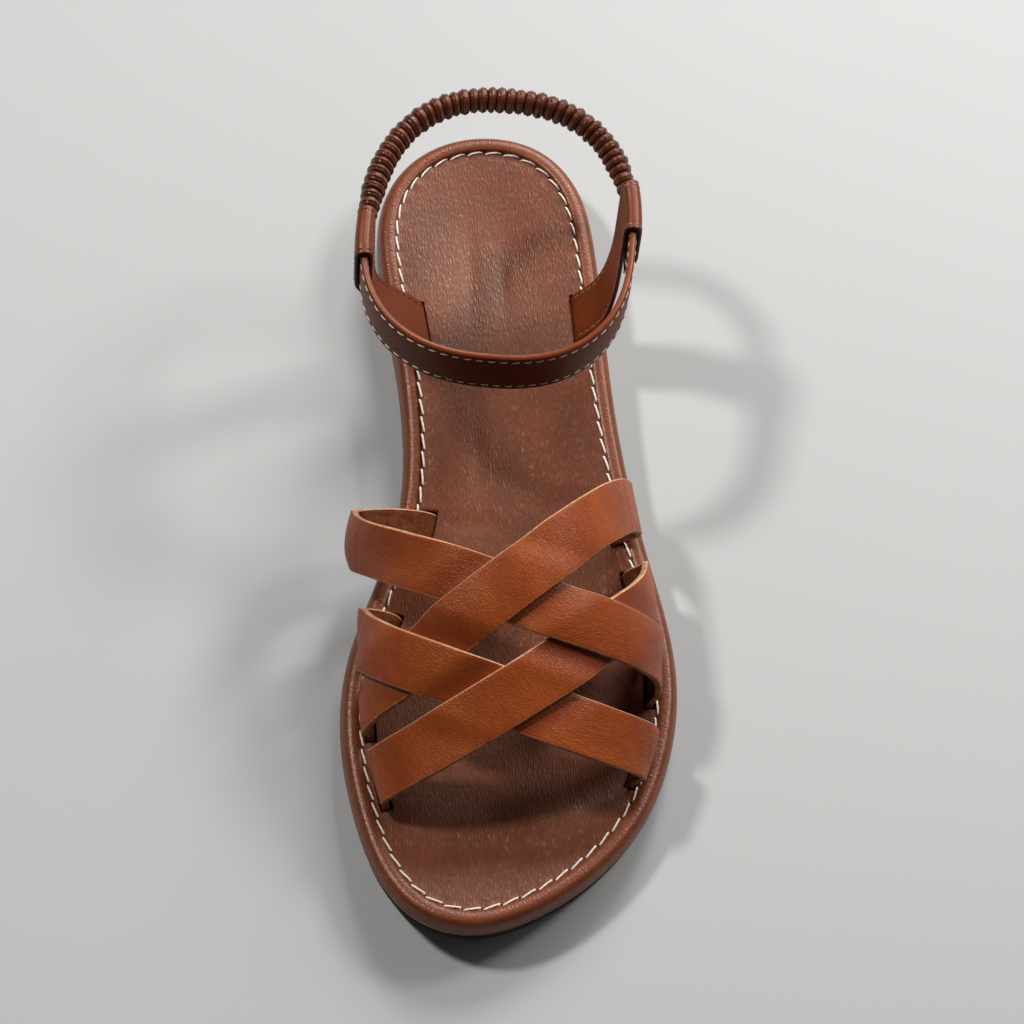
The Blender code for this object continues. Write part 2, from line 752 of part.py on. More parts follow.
def make_quarter_cutter(name):
    quarter = QUARTERS[name]
    top = rim_at(quarter["slot_along"]) + CUTTER_RISE
    return quarter_tube(quarter, CUTTER_DEPTH, SLOT_CLEARANCE, DENSE_STEPS, top)


def make_material(name):
    material = bpy.data.materials.new(name)
    material.use_nodes = True
    shader = material.node_tree.nodes["Principled BSDF"]
    shader.inputs["Base Color"].default_value = (*LOOKS[name]["colour"], 1.0)
    shader.inputs["Roughness"].default_value = LOOKS[name]["roughness"]
    shader.inputs["Metallic"].default_value = METALLIC
    return material


def make_object(name, shell, shift):
    mesh = bpy.data.meshes.new(name)
    mesh.from_pydata(((np.array(shell.points) - shift) * MM).tolist(), [], shell.faces)
    work = bmesh.new()
    work.from_mesh(mesh)
    bmesh.ops.recalc_face_normals(work, faces=work.faces)
    work.to_mesh(mesh)
    work.free()
    mesh.shade_smooth()
    mesh.set_sharp_from_angle(angle=SHARP_ANGLE)
    piece = bpy.data.objects.new(name, mesh)
    bpy.context.scene.collection.objects.link(piece)
    return piece


def hide_tool(tool):
    tool.hide_render = True
    tool.display_type = "WIRE"


def add_boolean(piece, tool, operation):
    modifier = piece.modifiers.new(tool.name, "BOOLEAN")
    modifier.operation = operation
    modifier.solver = "EXACT"
    modifier.object = tool


def main():
    for old in list(bpy.data.objects):
        bpy.data.objects.remove(old, do_unlink=True)

    straps = {name: make_strap(name) for name in STRAPS}
    shells = {
        "outsole": make_outsole(),
        "midsole": make_midsole(),
        "insole": make_insole(),
        "instep_band": make_instep_band(),
        "heel_strap": make_heel_strap(),
    }
    shells.update({name: make_quarter(name) for name in QUARTERS})

    everything = np.vstack([shell.points for shell in [*shells.values(), *straps.values()]])
    lowest, highest = everything.min(axis=0), everything.max(axis=0)
    shift = np.array([(lowest[0] + highest[0]) / 2, (lowest[1] + highest[1]) / 2, lowest[2]])

    for name, shell in shells.items():
        make_object(name, shell, shift).data.materials.append(make_material(name))

    first, *others = STRAPS
    upper = make_object("vamp_upper", straps[first], shift)
    upper.data.materials.append(make_material("vamp_upper"))
    for name in others:
        tool = make_object("strap_" + name, straps[name], shift)
        hide_tool(tool)
        add_boolean(upper, tool, "UNION")

    insole = bpy.data.objects["insole"]
    cutters = {"slot_" + name: make_quarter_cutter(name) for name in QUARTERS}
    for name in STRAPS:
        for side in OUTWARD:
            cutters[f"slot_{name}_{side}"] = make_slot_cutter(name, side)
    for name, shell in cutters.items():
        tool = make_object(name, shell, shift)
        hide_tool(tool)
        add_boolean(insole, tool, "DIFFERENCE")


main()
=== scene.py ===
"""Looks of a flat strappy leather sandal for the left foot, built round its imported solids.

Sizes are written in millimetres in the frame of the tables below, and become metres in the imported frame
when a mesh is made. The toe points along -Y and the inner side of the foot is at -X.
"""
import math

import bmesh
import bpy
import numpy as np
from mathutils import Matrix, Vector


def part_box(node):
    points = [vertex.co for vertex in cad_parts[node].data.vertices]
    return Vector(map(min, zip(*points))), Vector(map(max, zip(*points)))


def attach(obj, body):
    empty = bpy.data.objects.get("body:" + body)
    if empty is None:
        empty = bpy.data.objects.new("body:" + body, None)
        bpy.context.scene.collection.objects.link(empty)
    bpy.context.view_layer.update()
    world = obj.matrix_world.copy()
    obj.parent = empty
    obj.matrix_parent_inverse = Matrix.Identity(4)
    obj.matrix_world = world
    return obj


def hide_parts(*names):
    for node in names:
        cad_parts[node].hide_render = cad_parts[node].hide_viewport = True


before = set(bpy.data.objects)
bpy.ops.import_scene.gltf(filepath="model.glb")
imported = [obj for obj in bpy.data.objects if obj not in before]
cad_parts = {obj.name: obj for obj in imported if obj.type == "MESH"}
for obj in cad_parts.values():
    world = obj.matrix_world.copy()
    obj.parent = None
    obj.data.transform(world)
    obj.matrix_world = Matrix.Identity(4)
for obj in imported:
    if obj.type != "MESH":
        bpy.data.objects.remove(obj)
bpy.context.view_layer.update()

MM = 0.001
BODY = "root"
UP = np.array([0.0, 0.0, 1.0])
SIGNS = (-1.0, 1.0)
OUTWARD = dict(zip(("inner", "outer"), SIGNS))


def table(names, rows):
    """A short table of numbers, read by the names of its columns."""
    return dict(zip(names.split(), np.array(rows, dtype=float).T))


def named_rows(names, rows):
    """Rows with names of their own, each read by the names of its columns."""
    return {key: dict(zip(names.split(), row)) for key, row in rows.items()}


# Sizes of the sole
SIDE_STEPS = 280
PIECE_GAP = 0.3
OUTSOLE_THICK = 3.2
RECESS_DEPTH = 6.6
SEAM_INSET = 5.5
BED_EDGE_INSET = 5.45
BED_DROP = 0.7
SPLINE_STEPS = 120
OUTSOLE_ROWS = 14
MIDSOLE_ROWS = 44
BED_EDGE_ROWS = 12
BED_COLUMNS = 72
PLAIN_COLUMNS = 9
TREAD_COLUMNS = 24
TREAD_DEPTH = 0.7
TREAD_ROWS = np.array([0.0, 0.0, 0.0, 1.0, 1.0, 0.0])
TREAD_BORDER = 3

# Sizes of the vamp straps
STRAP_WIDTH = 15.5
STRAP_THICK = 2.0
STRAP_CORNER = 0.5
STRAP_CROWN = 0.12
STRAP_SECTIONS = 170
STRAP_COLUMNS = 18
CROSSING_MARGIN = 1.0
CROSSING_RAMP = 8.0
# How strongly a strap is darkened where it passes under another: a painted shadow
COVERED_PAINTED_SHADOW = 0.6
SLOT_DEPTH = 4.2
SLOT_SIDE = 0.7
SLOT_END = 0.6
CUTTER_DEPTH = 9.0
CUTTER_RISE = 3.2
CUTTER_SECTIONS = 9
CUTTER_COLUMNS = 7
CUTTER_SHARES = np.linspace(-1 / 2, 1 / 2, CUTTER_COLUMNS)
CORNER_STEPS = 4

# Sizes of the ankle strap
RING_X = 0.2
RING_Y = 56.0
RING_HALF_WIDTH = 36.9
RING_FRONT = 36.5
RING_BACK = 46.0
RING_SQUARE = 2.5
RING_TURN = math.radians(-6.0)
RING_HEIGHT = 70.0
RING_FRONT_DROP = 3.0
RING_BACK_RISE = 4.0
RING_SIDE = math.pi / 4
BAND_WIDTH = 15.5
BAND_THICK = 1.9
BAND_LEAN = 5.0
BAND_CORNER = 0.9
BAND_SECTIONS = 220
BAND_PAST_LOOP = 0.6
BAND_SEAM = 1.9
BAND_PUFF = 0.12
GROOVE_DEPTH = 0.2
GROOVE_HALF = 0.5
LOOP_WIDTH = 15.2
LOOP_THICK = 1.1
LOOP_EASE = 0.15
LOOP_ROUND = 0.6
LOOP_STRAIGHT = 3.0
LOOP_CORNER = 0.4
LOOP_SECTIONS = 180
LOOP_SEAM = 1.4
# How dark the loop is painted from its fold on, and the control row where that starts: painted shade
LOOP_PAINTED_SHADE = 0.6
LOOP_PAINTED_SHADE_START = 4.6
LEG_START = 1.5
LEG_FLARE = 7.5
LEG_RISE = 9.0

# Pleats of the heel strap: their number and size, how round they are, how much they vary and slant, and the
# folds in each: where in the pleat a fold lies and its depth, how far it sways, its half width and its painted
# shade
RIDGES = 41
RIDGE_STEPS = 18
RIDGE_SIDES = 36
RIDGE_HALF_THICK = 3.4
RIDGE_HALF_HEIGHT = 4.4
VALLEY_SHARE = 0.66
END_SHARE = 0.72
TAPER_RIDGES = 3
PLEAT_POWER = 0.5
PLEAT_SIZE_SPREAD = 0.045
PLEAT_WIDTH_SPREAD = 0.16
PLEAT_SLANT = 0.15
PLEAT_LEAST_SLANT = 0.4
PLEAT_FOLDS = ((0.34, 0.035), (0.68, 0.06))
PLEAT_FOLD_SWAY = 0.07
PLEAT_FOLD_HALF = 0.08
PLEAT_FOLD_PAINTED_SHADE = 6.0
PLEAT_SEED = 5

# Numbers that set the grain of one strap apart from the next
STRAP_SEED_STEP = 37.0
QUARTER_SEED = 20.0
BAND_SEED = 11.0
HEEL_SEED = 3.0

# Steps used to work out curves: points read along one, how much closer sections stand at a bend,
# and the small steps that give a surface's directions
DENSE_STEPS = 241
STRAP_BEND_WEIGHT = 12.0
LOOP_BEND_WEIGHT = 3.0
T_STEP = 0.01
ALONG_STEP = 0.2
SHARP_ANGLE = math.radians(50.0)

# The sole seen from above, from the heel round the outer side to the toe and back
SOLE_EDGE = np.array([
    (0.0, 124.0), (17.3, 119.2), (27.5, 106.8), (32.1, 87.0), (35.0, 49.0), (39.0, 16.0), (44.5, -11.0),
    (49.6, -34.0), (51.0, -52.0), (48.2, -71.0), (39.5, -92.0), (25.5, -108.0), (8.5, -119.3),
    (-8.5, -123.8), (-22.8, -119.3), (-33.5, -106.5), (-40.2, -87.0), (-43.5, -64.0), (-41.0, -40.5),
    (-33.2, -18.0), (-26.6, 4.0), (-25.2, 24.0), (-27.3, 50.0), (-31.4, 79.0), (-31.5, 97.0),
    (-26.8, 109.5), (-16.8, 119.3),
])
TOE_ROW = 13

# The sole seen from the side: its underside, flat at heel and ball, and the top of its rolled rim
SOLE_SIDE = table("along underside rim", [
    (-124.0, 5.5, 19.0),
    (-98.0, 1.6, 15.4),
    (-76.0, 0.0, 14.0),
    (-45.0, 0.0, 14.0),
    (-14.0, 0.0, 14.6),
    (20.0, 1.6, 16.8),
    (54.0, 0.0, 19.4),
    (90.0, 0.0, 20.6),
    (124.0, 0.0, 20.8),
])

# Soft hollows and pads of the footbed, then the small dents that wear has left in its leather: their middles
# across and along, half widths, half lengths and heights
BED_FORMS = [
    (-0.5, 92.0, 17.0, 24.0, -2.0),
    (-17.0, 26.0, 9.0, 30.0, 1.8),
    (5.0, -58.0, 22.0, 18.0, -1.2),
]
BED_DENTS = [
    (7.0, 88.0, 4.0, 7.0, -0.3),
    (-5.0, 78.0, 1.6, 11.0, -0.25),
    (4.5, 73.0, 1.5, 8.0, -0.22),
    (7.0, 12.0, 6.0, 6.0, -0.35),
    (-4.0, 20.0, 2.0, 9.0, -0.25),
    (-9.0, -2.0, 7.0, 1.8, -0.2),
    (-6.0, -99.0, 12.0, 2.2, -0.3),
]

# Rings of the outsole: how far in from the edge and how far above the underside
OUTSOLE_WALL = np.array([
    (2.0, 0.0),
    (1.3, 0.25),
    (1.0, 0.9),
    (1.0, OUTSOLE_THICK - 0.4),
    (1.3, OUTSOLE_THICK),
])
# Rings of the midsole: how far in, the share of the way from its base to the rim, and a height added to that
MIDSOLE_WALL = np.array([
    (1.8, 0.0, 0.0),
    (0.5, 0.0, 1.4),
    (0.0, 0.45, 0.0),
    (0.1, 1.0, -4.4),
    (0.6, 1.0, -1.7),
    (1.9, 1.0, -0.2),
    (3.4, 1.0, 0.1),
    (4.7, 1.0, -0.05),
    (SEAM_INSET, 1.0, -0.45),
    (SEAM_INSET, 1.0, -1.2),
    (SEAM_INSET, 1.0, -RECESS_DEPTH),
])
# Rings of the insole's edge: how far in and how far above the footbed
INSOLE_WALL = np.array([(BED_EDGE_INSET, 0.2), (6.4, 0.05), (8.2, 0.0)])

# The last under the straps, a row for each station along the foot
LAST = table("along crown inner_bulge outer_bulge", [
    (-96.0, 22.0, -29.0, 34.0),
    (-80.0, 27.0, -33.0, 39.0),
    (-68.0, 31.5, -36.0, 42.5),
    (-44.0, 42.0, -37.0, 44.0),
    (-29.0, 46.0, -37.0, 43.0),
    (-14.0, 49.5, -40.7, 40.5),
    (6.0, 52.0, -37.0, 37.5),
    (24.0, 54.0, -36.0, 36.5),
])

# Half of a strap's path round the last, from its slot to the crown: shares of three widths, then heights
STRAP_PATH = table("slot bulge middle lift rise", [
    (1.0, 0.0, 0.0, -SLOT_DEPTH, 0.0),
    (1.0, 0.0, 0.0, 0.8, 0.0),
    (0.5, 0.5, 0.0, 3.6, 0.0),
    (0.0, 1.03, -0.03, 4.6, 0.04),
    (0.0, 1.01, -0.01, 5.0, 0.2),
    (0.0, 0.82, 0.18, 1.5, 0.62),
    (0.0, 0.44, 0.56, 0.5, 0.97),
    (0.0, 0.0, 1.0, 0.0, 1.07),
])
# A place along a strap counts these rows from its inner slot, over the crown, to its outer slot
LAST_T = 2.0 * (len(STRAP_PATH["lift"]) - 1)
DENSE_T = np.linspace(0.0, LAST_T, DENSE_STEPS)

# The four straps: where their slots lie along the foot and in from the edge, how far from each slot
# they start to cross, counted in rows of the path, and how far their crowns lean to the toe
STRAPS = named_rows("inner outer inner_inset outer_inset inner_turn outer_turn lean", {
    "rear_outer": (-59.5, -0.6, 8.5, 8.5, 3.0, 4.2, 16.0),
    "rear_inner": (-6.4, -49.8, 11.5, 8.0, 1.5, 1.5, 14.5),
    "front_inner": (-37.5, -74.0, 10.5, 8.0, 2.0, 3.0, 10.0),
    "front_outer": (-80.0, -24.5, 9.0, 8.5, 3.2, 2.5, 11.0),
})
# Which strap lies over which
CROSSINGS = [
    ("rear_outer", "rear_inner"),
    ("front_inner", "rear_outer"),
    ("rear_inner", "front_outer"),
    ("front_outer", "front_inner"),
]
# Straps cut across the grain of the hide, whose wrinkles run from edge to edge
CROSS_GRAIN = ("rear_outer", "front_outer")

# Soft creases across the straps: the place along the strap, how far it slants, its half length and its depth
STRAP_CREASES = {
    "rear_outer": [
        (3.3, 0.2, 1.1, 0.16), (4.1, -0.1, 0.9, 0.12), (9.4, 0.3, 1.3, 0.14), (11.0, -0.2, 1.0, 0.16),
    ],
    "rear_inner": [
        (2.9, 0.1, 1.0, 0.18), (3.6, -0.2, 1.1, 0.16), (4.3, 0.2, 0.9, 0.12), (10.8, 0.2, 1.2, 0.14),
    ],
    "front_inner": [
        (2.8, -0.1, 1.0, 0.18), (3.5, 0.2, 1.0, 0.14), (9.9, -0.3, 1.2, 0.12), (11.2, 0.1, 1.0, 0.14),
    ],
    "front_outer": [
        (3.2, 0.2, 1.0, 0.15), (8.3, -0.3, 1.3, 0.12), (10.4, 0.2, 1.1, 0.14), (11.3, -0.1, 0.9, 0.15),
    ],
}

# The two quarter straps: where their slots lie, where their loops hold the ankle strap, and their thread
QUARTERS = named_rows("side inset slot_along loop_along thread", {
    "quarter_strap_inner": ("inner", 10.6, 59.0, 57.0, "dark_thread"),
    "quarter_strap_outer": ("outer", 9.2, 62.0, 65.0, "tan_thread"),
})
LEG_OUT = BAND_THICK / 2 + PIECE_GAP + LOOP_EASE + LOOP_THICK / 2
LEG_TOP = BAND_WIDTH / 2 + PIECE_GAP + LOOP_EASE + LOOP_THICK / 2
FLAP_OUT = LOOP_THICK + PIECE_GAP - LEG_OUT

# The loop over the ankle strap, outward and up from the middle of the strap: the leg comes up inside it,
# turns over its top, and ends as a flap that lies on the leg below it
LOOP_FOLD = [
    (-LEG_OUT - 0.4, -30.0),
    (-LEG_OUT, -20.0),
    (-LEG_OUT, -9.0),
    (-LEG_OUT, LEG_TOP - LOOP_STRAIGHT),
    (-LEG_OUT, LEG_TOP + LOOP_ROUND),
    (LEG_OUT, LEG_TOP + LOOP_ROUND),
    (LEG_OUT, LEG_TOP - LOOP_STRAIGHT),
    (LEG_OUT, -6.0),
    (LEG_OUT, -9.8),
    (FLAP_OUT + 0.5, -12.6),
    (FLAP_OUT + 0.1, -16.0),
]

# Seams: how far apart the stitches are, how long, how thick their thread, how far they slant, rise and sink
SEAMS = named_rows("pitch long thread slant rise sink", {
    "footbed": (5.4, 4.8, 0.3, 0.15, 0.16, 0.4),
    "band": (3.3, 2.4, 0.18, 0.08, 0.15, 0.25),
    "quarter": (2.8, 2.1, 0.14, 0.08, 0.07, 0.22),
})
BED_SEAM_INSET = 5.8
PUCKER_DEPTH = 0.16
PUCKER_REACH = 1.8
STITCH_SECTIONS = 13
STITCH_SQUARE = 4
THREAD_SIDES = 10
THREAD_TWIST = 9.0
THREAD_PLY = 0.09
HOLE_SIDES = 12
HOLE_HALF_LONG = 0.26
HOLE_HALF_WIDE = 0.2
HOLE_PROUD = 0.02


# Curves and surfaces of the sandal

def unit(vectors):
    return vectors / np.linalg.norm(vectors, axis=-1, keepdims=True)


def smooth_step(share):
    share = np.clip(share, 0.0, 1.0)
    return share * share * (3 - 2 * share)


def slope(curve, place, step):
    """How fast a curve changes at a place, read a small step to either side."""
    return (curve(place + step) - curve(place - step)) / (2 * step)


def full_turn(sides):
    """Even angles round a circle."""
    return np.arange(sides) * 2 * math.pi / sides


def smooth_through(places, values):
    """A curve through a table's rows that never swings past them."""
    spans = np.diff(places)
    slopes = np.diff(values) / spans
    tangents = np.empty_like(values)
    tangents[0] = slopes[0]
    tangents[-1] = slopes[-1]
    for row in range(1, len(values) - 1):
        before, after = slopes[row - 1], slopes[row]
        if before * after <= 0:
            tangents[row] = 0.0
            continue
        weight_before = 2 * spans[row] + spans[row - 1]
        weight_after = spans[row] + 2 * spans[row - 1]
        tangents[row] = (weight_before + weight_after) / (weight_before / before + weight_after / after)

    def curve(place):
        place = np.clip(place, places[0], places[-1])
        row = np.clip(np.searchsorted(places, place) - 1, 0, len(spans) - 1)
        t = (place - places[row]) / spans[row]
        return (
            values[row] * (2 * t**3 - 3 * t**2 + 1)
            + tangents[row] * spans[row] * (t**3 - 2 * t**2 + t)
            + values[row + 1] * (3 * t**2 - 2 * t**3)
            + tangents[row + 1] * spans[row] * (t**3 - t**2)
        )

    return curve


underside_at = smooth_through(SOLE_SIDE["along"], SOLE_SIDE["underside"])
rim_at = smooth_through(SOLE_SIDE["along"], SOLE_SIDE["rim"])
crown_at = smooth_through(LAST["along"], LAST["crown"])
bulge_at = {side: smooth_through(LAST["along"], LAST[side + "_bulge"]) for side in OUTWARD}


def closed_spline(points, steps):
    """A smooth closed curve through the points, evenly bent where they join."""
    count = len(points)
    ahead = np.roll(points, -1, axis=0)
    spans = np.linalg.norm(ahead - points, axis=1)
    slopes = (ahead - points) / spans[:, None]
    matrix = np.zeros((count, count))
    for row in range(count):
        matrix[row, row - 1] += spans[row - 1]
        matrix[row, row] += 2 * (spans[row - 1] + spans[row])
        matrix[row, (row + 1) % count] += spans[row]
    bends = np.linalg.solve(matrix, 6 * (slopes - np.roll(slopes, 1, axis=0)))
    curve = []
    for row in range(count):
        span = spans[row]
        following = (row + 1) % count
        for t in np.arange(steps) / steps * span:
            rest = span - t
            curve.append(
                (bends[row] * rest**3 + bends[following] * t**3) / (6 * span)
                + (points[row] / span - bends[row] * span / 6) * rest
                + (points[following] / span - bends[following] * span / 6) * t
            )
    return np.array(curve)


def closed_line(line):
    """A line with its first point again at its end."""
    return np.vstack([line, line[:1]])


def steps_between(points):
    return np.linalg.norm(np.diff(points, axis=0), axis=-1)


def running_sum(steps):
    """The sums of the steps so far, from nothing on."""
    return np.concatenate([np.zeros_like(steps[:1]), np.cumsum(steps, axis=0)])


def lengths_along(points):
    return running_sum(steps_between(points))


def read_line(line, lengths, places):
    """Points of a line at these distances along it."""
    return np.stack([np.interp(places, lengths, line[:, axis]) for axis in range(line.shape[1])], axis=-1)


def even_points(points, count):
    """Points evenly spaced along an open line, ends included."""
    lengths = lengths_along(points)
    return read_line(points, lengths, np.linspace(0.0, lengths[-1], count))


def sole_edge():
    """The sole's edge from the heel round the outer side to the toe and back, and its inward directions."""
    curve = closed_line(closed_spline(SOLE_EDGE, SPLINE_STEPS))
    toe = TOE_ROW * SPLINE_STEPS
    outer_side = even_points(curve[: toe + 1], SIDE_STEPS + 1)
    inner_side = even_points(curve[toe:], SIDE_STEPS + 1)
    edge = np.vstack([outer_side[:-1], inner_side[:-1]])
    tangents = unit(np.roll(edge, -1, axis=0) - np.roll(edge, 1, axis=0))
    inward = np.column_stack([tangents[:, 1], -tangents[:, 0]])
    return edge, inward


EDGE, EDGE_INWARD = sole_edge()
EDGE_LENGTHS = lengths_along(closed_line(EDGE))


def table_shift():
    """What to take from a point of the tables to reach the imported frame, read from the midsole's box."""
    low, high = (np.array(corner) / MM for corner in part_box("midsole"))
    drawn = (EDGE.min(axis=0) + EDGE.max(axis=0)) / 2
    packed = (low + high) / 2
    return np.array([drawn[0] - packed[0], drawn[1] - packed[1], 0.0])


SHIFT = table_shift()


def edge_line(inset):
    return EDGE + EDGE_INWARD * inset


def add_forms(height, forms, across, along):
    """A height with soft round hollows and pads added to it."""
    for middle_x, middle_y, wide, long, rise in forms:
        apart = ((across - middle_x) / wide) ** 2 + ((along - middle_y) / long) ** 2
        height = height + rise * np.exp(-apart / 2)
    return height


def bed_height(across, along):
    """The top of the footbed."""
    return add_forms(rim_at(along) - BED_DROP, BED_FORMS, across, along)


def slot_across(side, along, inset):
    """How far across the foot a slot lies, set in from the sole's edge on this side."""
    line = edge_line(inset)
    chosen = line[: SIDE_STEPS + 1] if side == "outer" else line[SIDE_STEPS:]
    order = np.argsort(chosen[:, 1])
    return np.interp(along, chosen[order, 1], chosen[order, 0])


def spline_weights(t, count):
    """How much each control row counts at a place along a path, end rows carried straight on."""
    apart = np.abs(np.asarray(t)[..., None] - np.arange(-1, count + 1))
    near = (4 - 6 * apart**2 + 3 * apart**3) / 6
    far = (2 - apart) ** 3 / 6
    return np.where(apart < 1, near, np.where(apart < 2, far, 0.0))


def carry_on(controls):
    """The control rows with one more at each end, straight on."""
    first = 2 * controls[..., :1, :] - controls[..., 1:2, :]
    last = 2 * controls[..., -1:, :] - controls[..., -2:-1, :]
    return np.concatenate([first, controls, last], axis=-2)


def spline_at(controls, t):
    """Points of a smooth path at these places, counted in its control rows."""
    return spline_weights(t, len(controls)) @ carry_on(controls)


def rounded_rows(wall, count):
    """A wall's table with its corners rounded, read at more rows, a column for each of its values."""
    return spline_at(wall, np.linspace(0.0, len(wall) - 1, count)).T[..., None]


def last_point(strap, t, along):
    """A point of the strap's path surface: t counts control rows from the inner slot to the outer one."""
    along = np.asarray(along, dtype=float)
    base = rim_at(along) - BED_DROP
    crown = crown_at(along)
    middle = (bulge_at["inner"](along) + bulge_at["outer"](along)) / 2
    halves = []
    for side in OUTWARD:
        slot = slot_across(side, along, strap[side + "_inset"])
        across = (
            slot[..., None] * STRAP_PATH["slot"]
            + bulge_at[side](along)[..., None] * STRAP_PATH["bulge"]
            + middle[..., None] * STRAP_PATH["middle"]
        )
        height = base[..., None] + STRAP_PATH["lift"] + crown[..., None] * STRAP_PATH["rise"]
        halves.append(np.stack([across, height], axis=-1))
    controls = np.concatenate([halves[0], halves[1][..., -2::-1, :]], axis=-2)
    weights = spline_weights(t, controls.shape[-2])
    flat = np.einsum("...c,...cd->...d", weights, carry_on(controls))
    return np.stack([flat[..., 0], along, flat[..., 1]], axis=-1)


def surface_frame(strap, t, along):
    """Directions of the path surface at a place: along its rows, along the foot, and outward."""
    by_t = slope(lambda place: last_point(strap, place, along), t, T_STEP)
    by_along = slope(lambda place: last_point(strap, t, place), along, ALONG_STEP)
    return by_t, by_along, unit(np.cross(by_t, by_along))


def strap_along(strap, t):
    """Where along the foot the strap's middle line is: slot to slot, its crown leaning to the toe."""
    span = LAST_T - strap["inner_turn"] - strap["outer_turn"]
    eased = smooth_step((t - strap["inner_turn"]) / span)
    rises = np.concatenate([STRAP_PATH["rise"], STRAP_PATH["rise"][-2::-1]])
    rise = spline_at(rises[:, None], t)[..., 0]
    return strap["inner"] * (1 - eased) + strap["outer"] * eased - strap["lean"] * rise


def closer_at_bends(points, places, weight, count):
    """Places along a line of points, closer together where it bends."""
    turns = steps_between(unit(np.gradient(points, axis=0)))
    spread = running_sum(steps_between(points) + weight * turns)
    return np.interp(np.linspace(0.0, spread[-1], count), spread, places)


def strap_middle(strap, t):
    """Points of a strap's middle line."""
    return last_point(strap, t, strap_along(strap, t))


def strap_line(strap, sections):
    """Places along a strap's middle line, closer together where it bends."""
    return closer_at_bends(strap_middle(strap, DENSE_T), DENSE_T, STRAP_BEND_WEIGHT, sections)


def strap_places(strap, t, offsets):
    """Places on the path surface at these offsets across the strap, a row for each section."""
    along = strap_along(strap, t)
    along_slope = slope(lambda place: strap_along(strap, place), t, T_STEP)
    by_t, by_along, _ = surface_frame(strap, t, along)
    size_t = np.sum(by_t * by_t, axis=1)
    mixed = np.sum(by_t * by_along, axis=1)
    size_along = np.sum(by_along * by_along, axis=1)
    turn_t = -(mixed + size_along * along_slope)
    turn_along = size_t + mixed * along_slope
    scale = np.sqrt(size_t * turn_t**2 + 2 * mixed * turn_t * turn_along + size_along * turn_along**2)
    side_t = (turn_t / scale)[:, None] * offsets
    side_along = (turn_along / scale)[:, None] * offsets
    return np.clip(t[:, None] + side_t, 0.0, LAST_T), along[:, None] + side_along


def line_distance(points, line):
    """How far each point is from a line of short straight steps."""
    starts = line[:-1]
    steps = line[1:] - starts
    apart = points[..., None, :] - starts
    share = np.clip(np.sum(apart * steps, axis=-1) / np.sum(steps * steps, axis=-1), 0.0, 1.0)
    return np.min(np.linalg.norm(apart - share[..., None] * steps, axis=-1), axis=-1)


def crossing_lift(name, points):
    """How far the weave lifts or lowers a strap at these points, and how much it lies under another."""
    lift = np.zeros(points.shape[:-1])
    covered = np.zeros(points.shape[:-1])
    for over, under in CROSSINGS:
        if name not in (over, under):
            continue
        other = under if name == over else over
        sign = 1.0 if name == over else -1.0
        apart = line_distance(points, strap_middle(STRAPS[other], DENSE_T))
        near = 1 - smooth_step((apart - STRAP_WIDTH / 2 - CROSSING_MARGIN) / CROSSING_RAMP)
        lift += sign * STRAP_THICK / 2 * near
        if name == under:
            covered = np.maximum(covered, near)
    return lift, covered


def ring_point(angle):
    """The middle of the ankle strap: 0 at the outer side, a quarter turn at the back of the heel."""
    angle = np.asarray(angle, dtype=float)
    cosine, sine = np.cos(angle), np.sin(angle)
    stretch = (np.abs(cosine) ** RING_SQUARE + np.abs(sine) ** RING_SQUARE) ** (-1 / RING_SQUARE)
    reach = np.where(sine > 0, RING_BACK, RING_FRONT)
    height = (
        RING_HEIGHT
        + RING_BACK_RISE * np.maximum(sine, 0.0) ** 2
        - RING_FRONT_DROP * np.minimum(sine, 0.0) ** 2
    )
    across = RING_HALF_WIDTH * cosine * stretch
    along = reach * sine * stretch
    return np.stack([
        RING_X + across * math.cos(RING_TURN) - along * math.sin(RING_TURN),
        RING_Y + across * math.sin(RING_TURN) + along * math.cos(RING_TURN),
        height,
    ], axis=-1)


def ring_angle(side, along):
    """The place on the ankle strap at this distance along the foot, on one side."""
    angles = np.linspace(-RING_SIDE, RING_SIDE, DENSE_STEPS)
    if side == "inner":
        angles = math.pi - angles
    return float(np.interp(along, ring_point(angles)[:, 1], angles))


def ring_frame(angle):
    """Directions outward and up from the middle of the ankle strap."""
    ahead = unit(ring_point(angle + T_STEP) - ring_point(angle - T_STEP))
    outward = unit(np.cross(ahead, UP))
    return outward, np.cross(outward, ahead)


def even_angles(start, end, count):
    dense = np.linspace(start, end, DENSE_STEPS)
    lengths = lengths_along(ring_point(dense))
    return np.interp(np.linspace(0.0, lengths[-1], count), lengths, dense)


def loop_ends(past):
    """Angles a little past the rear end of each quarter strap's loop."""
    ends = {}
    for quarter in QUARTERS.values():
        ends[quarter["side"]] = ring_angle(quarter["side"], quarter["loop_along"] + LOOP_WIDTH / 2 + past)
    return ends


def quarter_controls(quarter, slot_depth, offset):
    """Control rows of one line of a quarter strap: up from its slot, flaring, and over the ankle strap."""
    side = quarter["side"]
    angle = ring_angle(side, quarter["loop_along"] + offset)
    hub = ring_point(angle)
    outward = ring_frame(np.array([angle]))[0][0]
    along = quarter["slot_along"] + offset
    across = float(slot_across(side, along, quarter["inset"]))
    slot = np.array([across, along, bed_height(across, along)])
    rows = [
        slot - (0.0, 0.0, slot_depth),
        slot + (0.0, 0.0, LEG_START),
        slot + (OUTWARD[side] * LEG_FLARE, 0.0, LEG_RISE),
    ]
    rows += [hub + outward * out + UP * up for out, up in LOOP_FOLD]
    return np.array(rows)


def quarter_places(quarter, slot_depth, sections):
    """Places along a quarter strap's middle line, closer together where it bends."""
    controls = quarter_controls(quarter, slot_depth, 0.0)
    dense = np.linspace(0.0, len(controls) - 1, DENSE_STEPS)
    return closer_at_bends(spline_at(controls, dense), dense, LOOP_BEND_WEIGHT, sections)


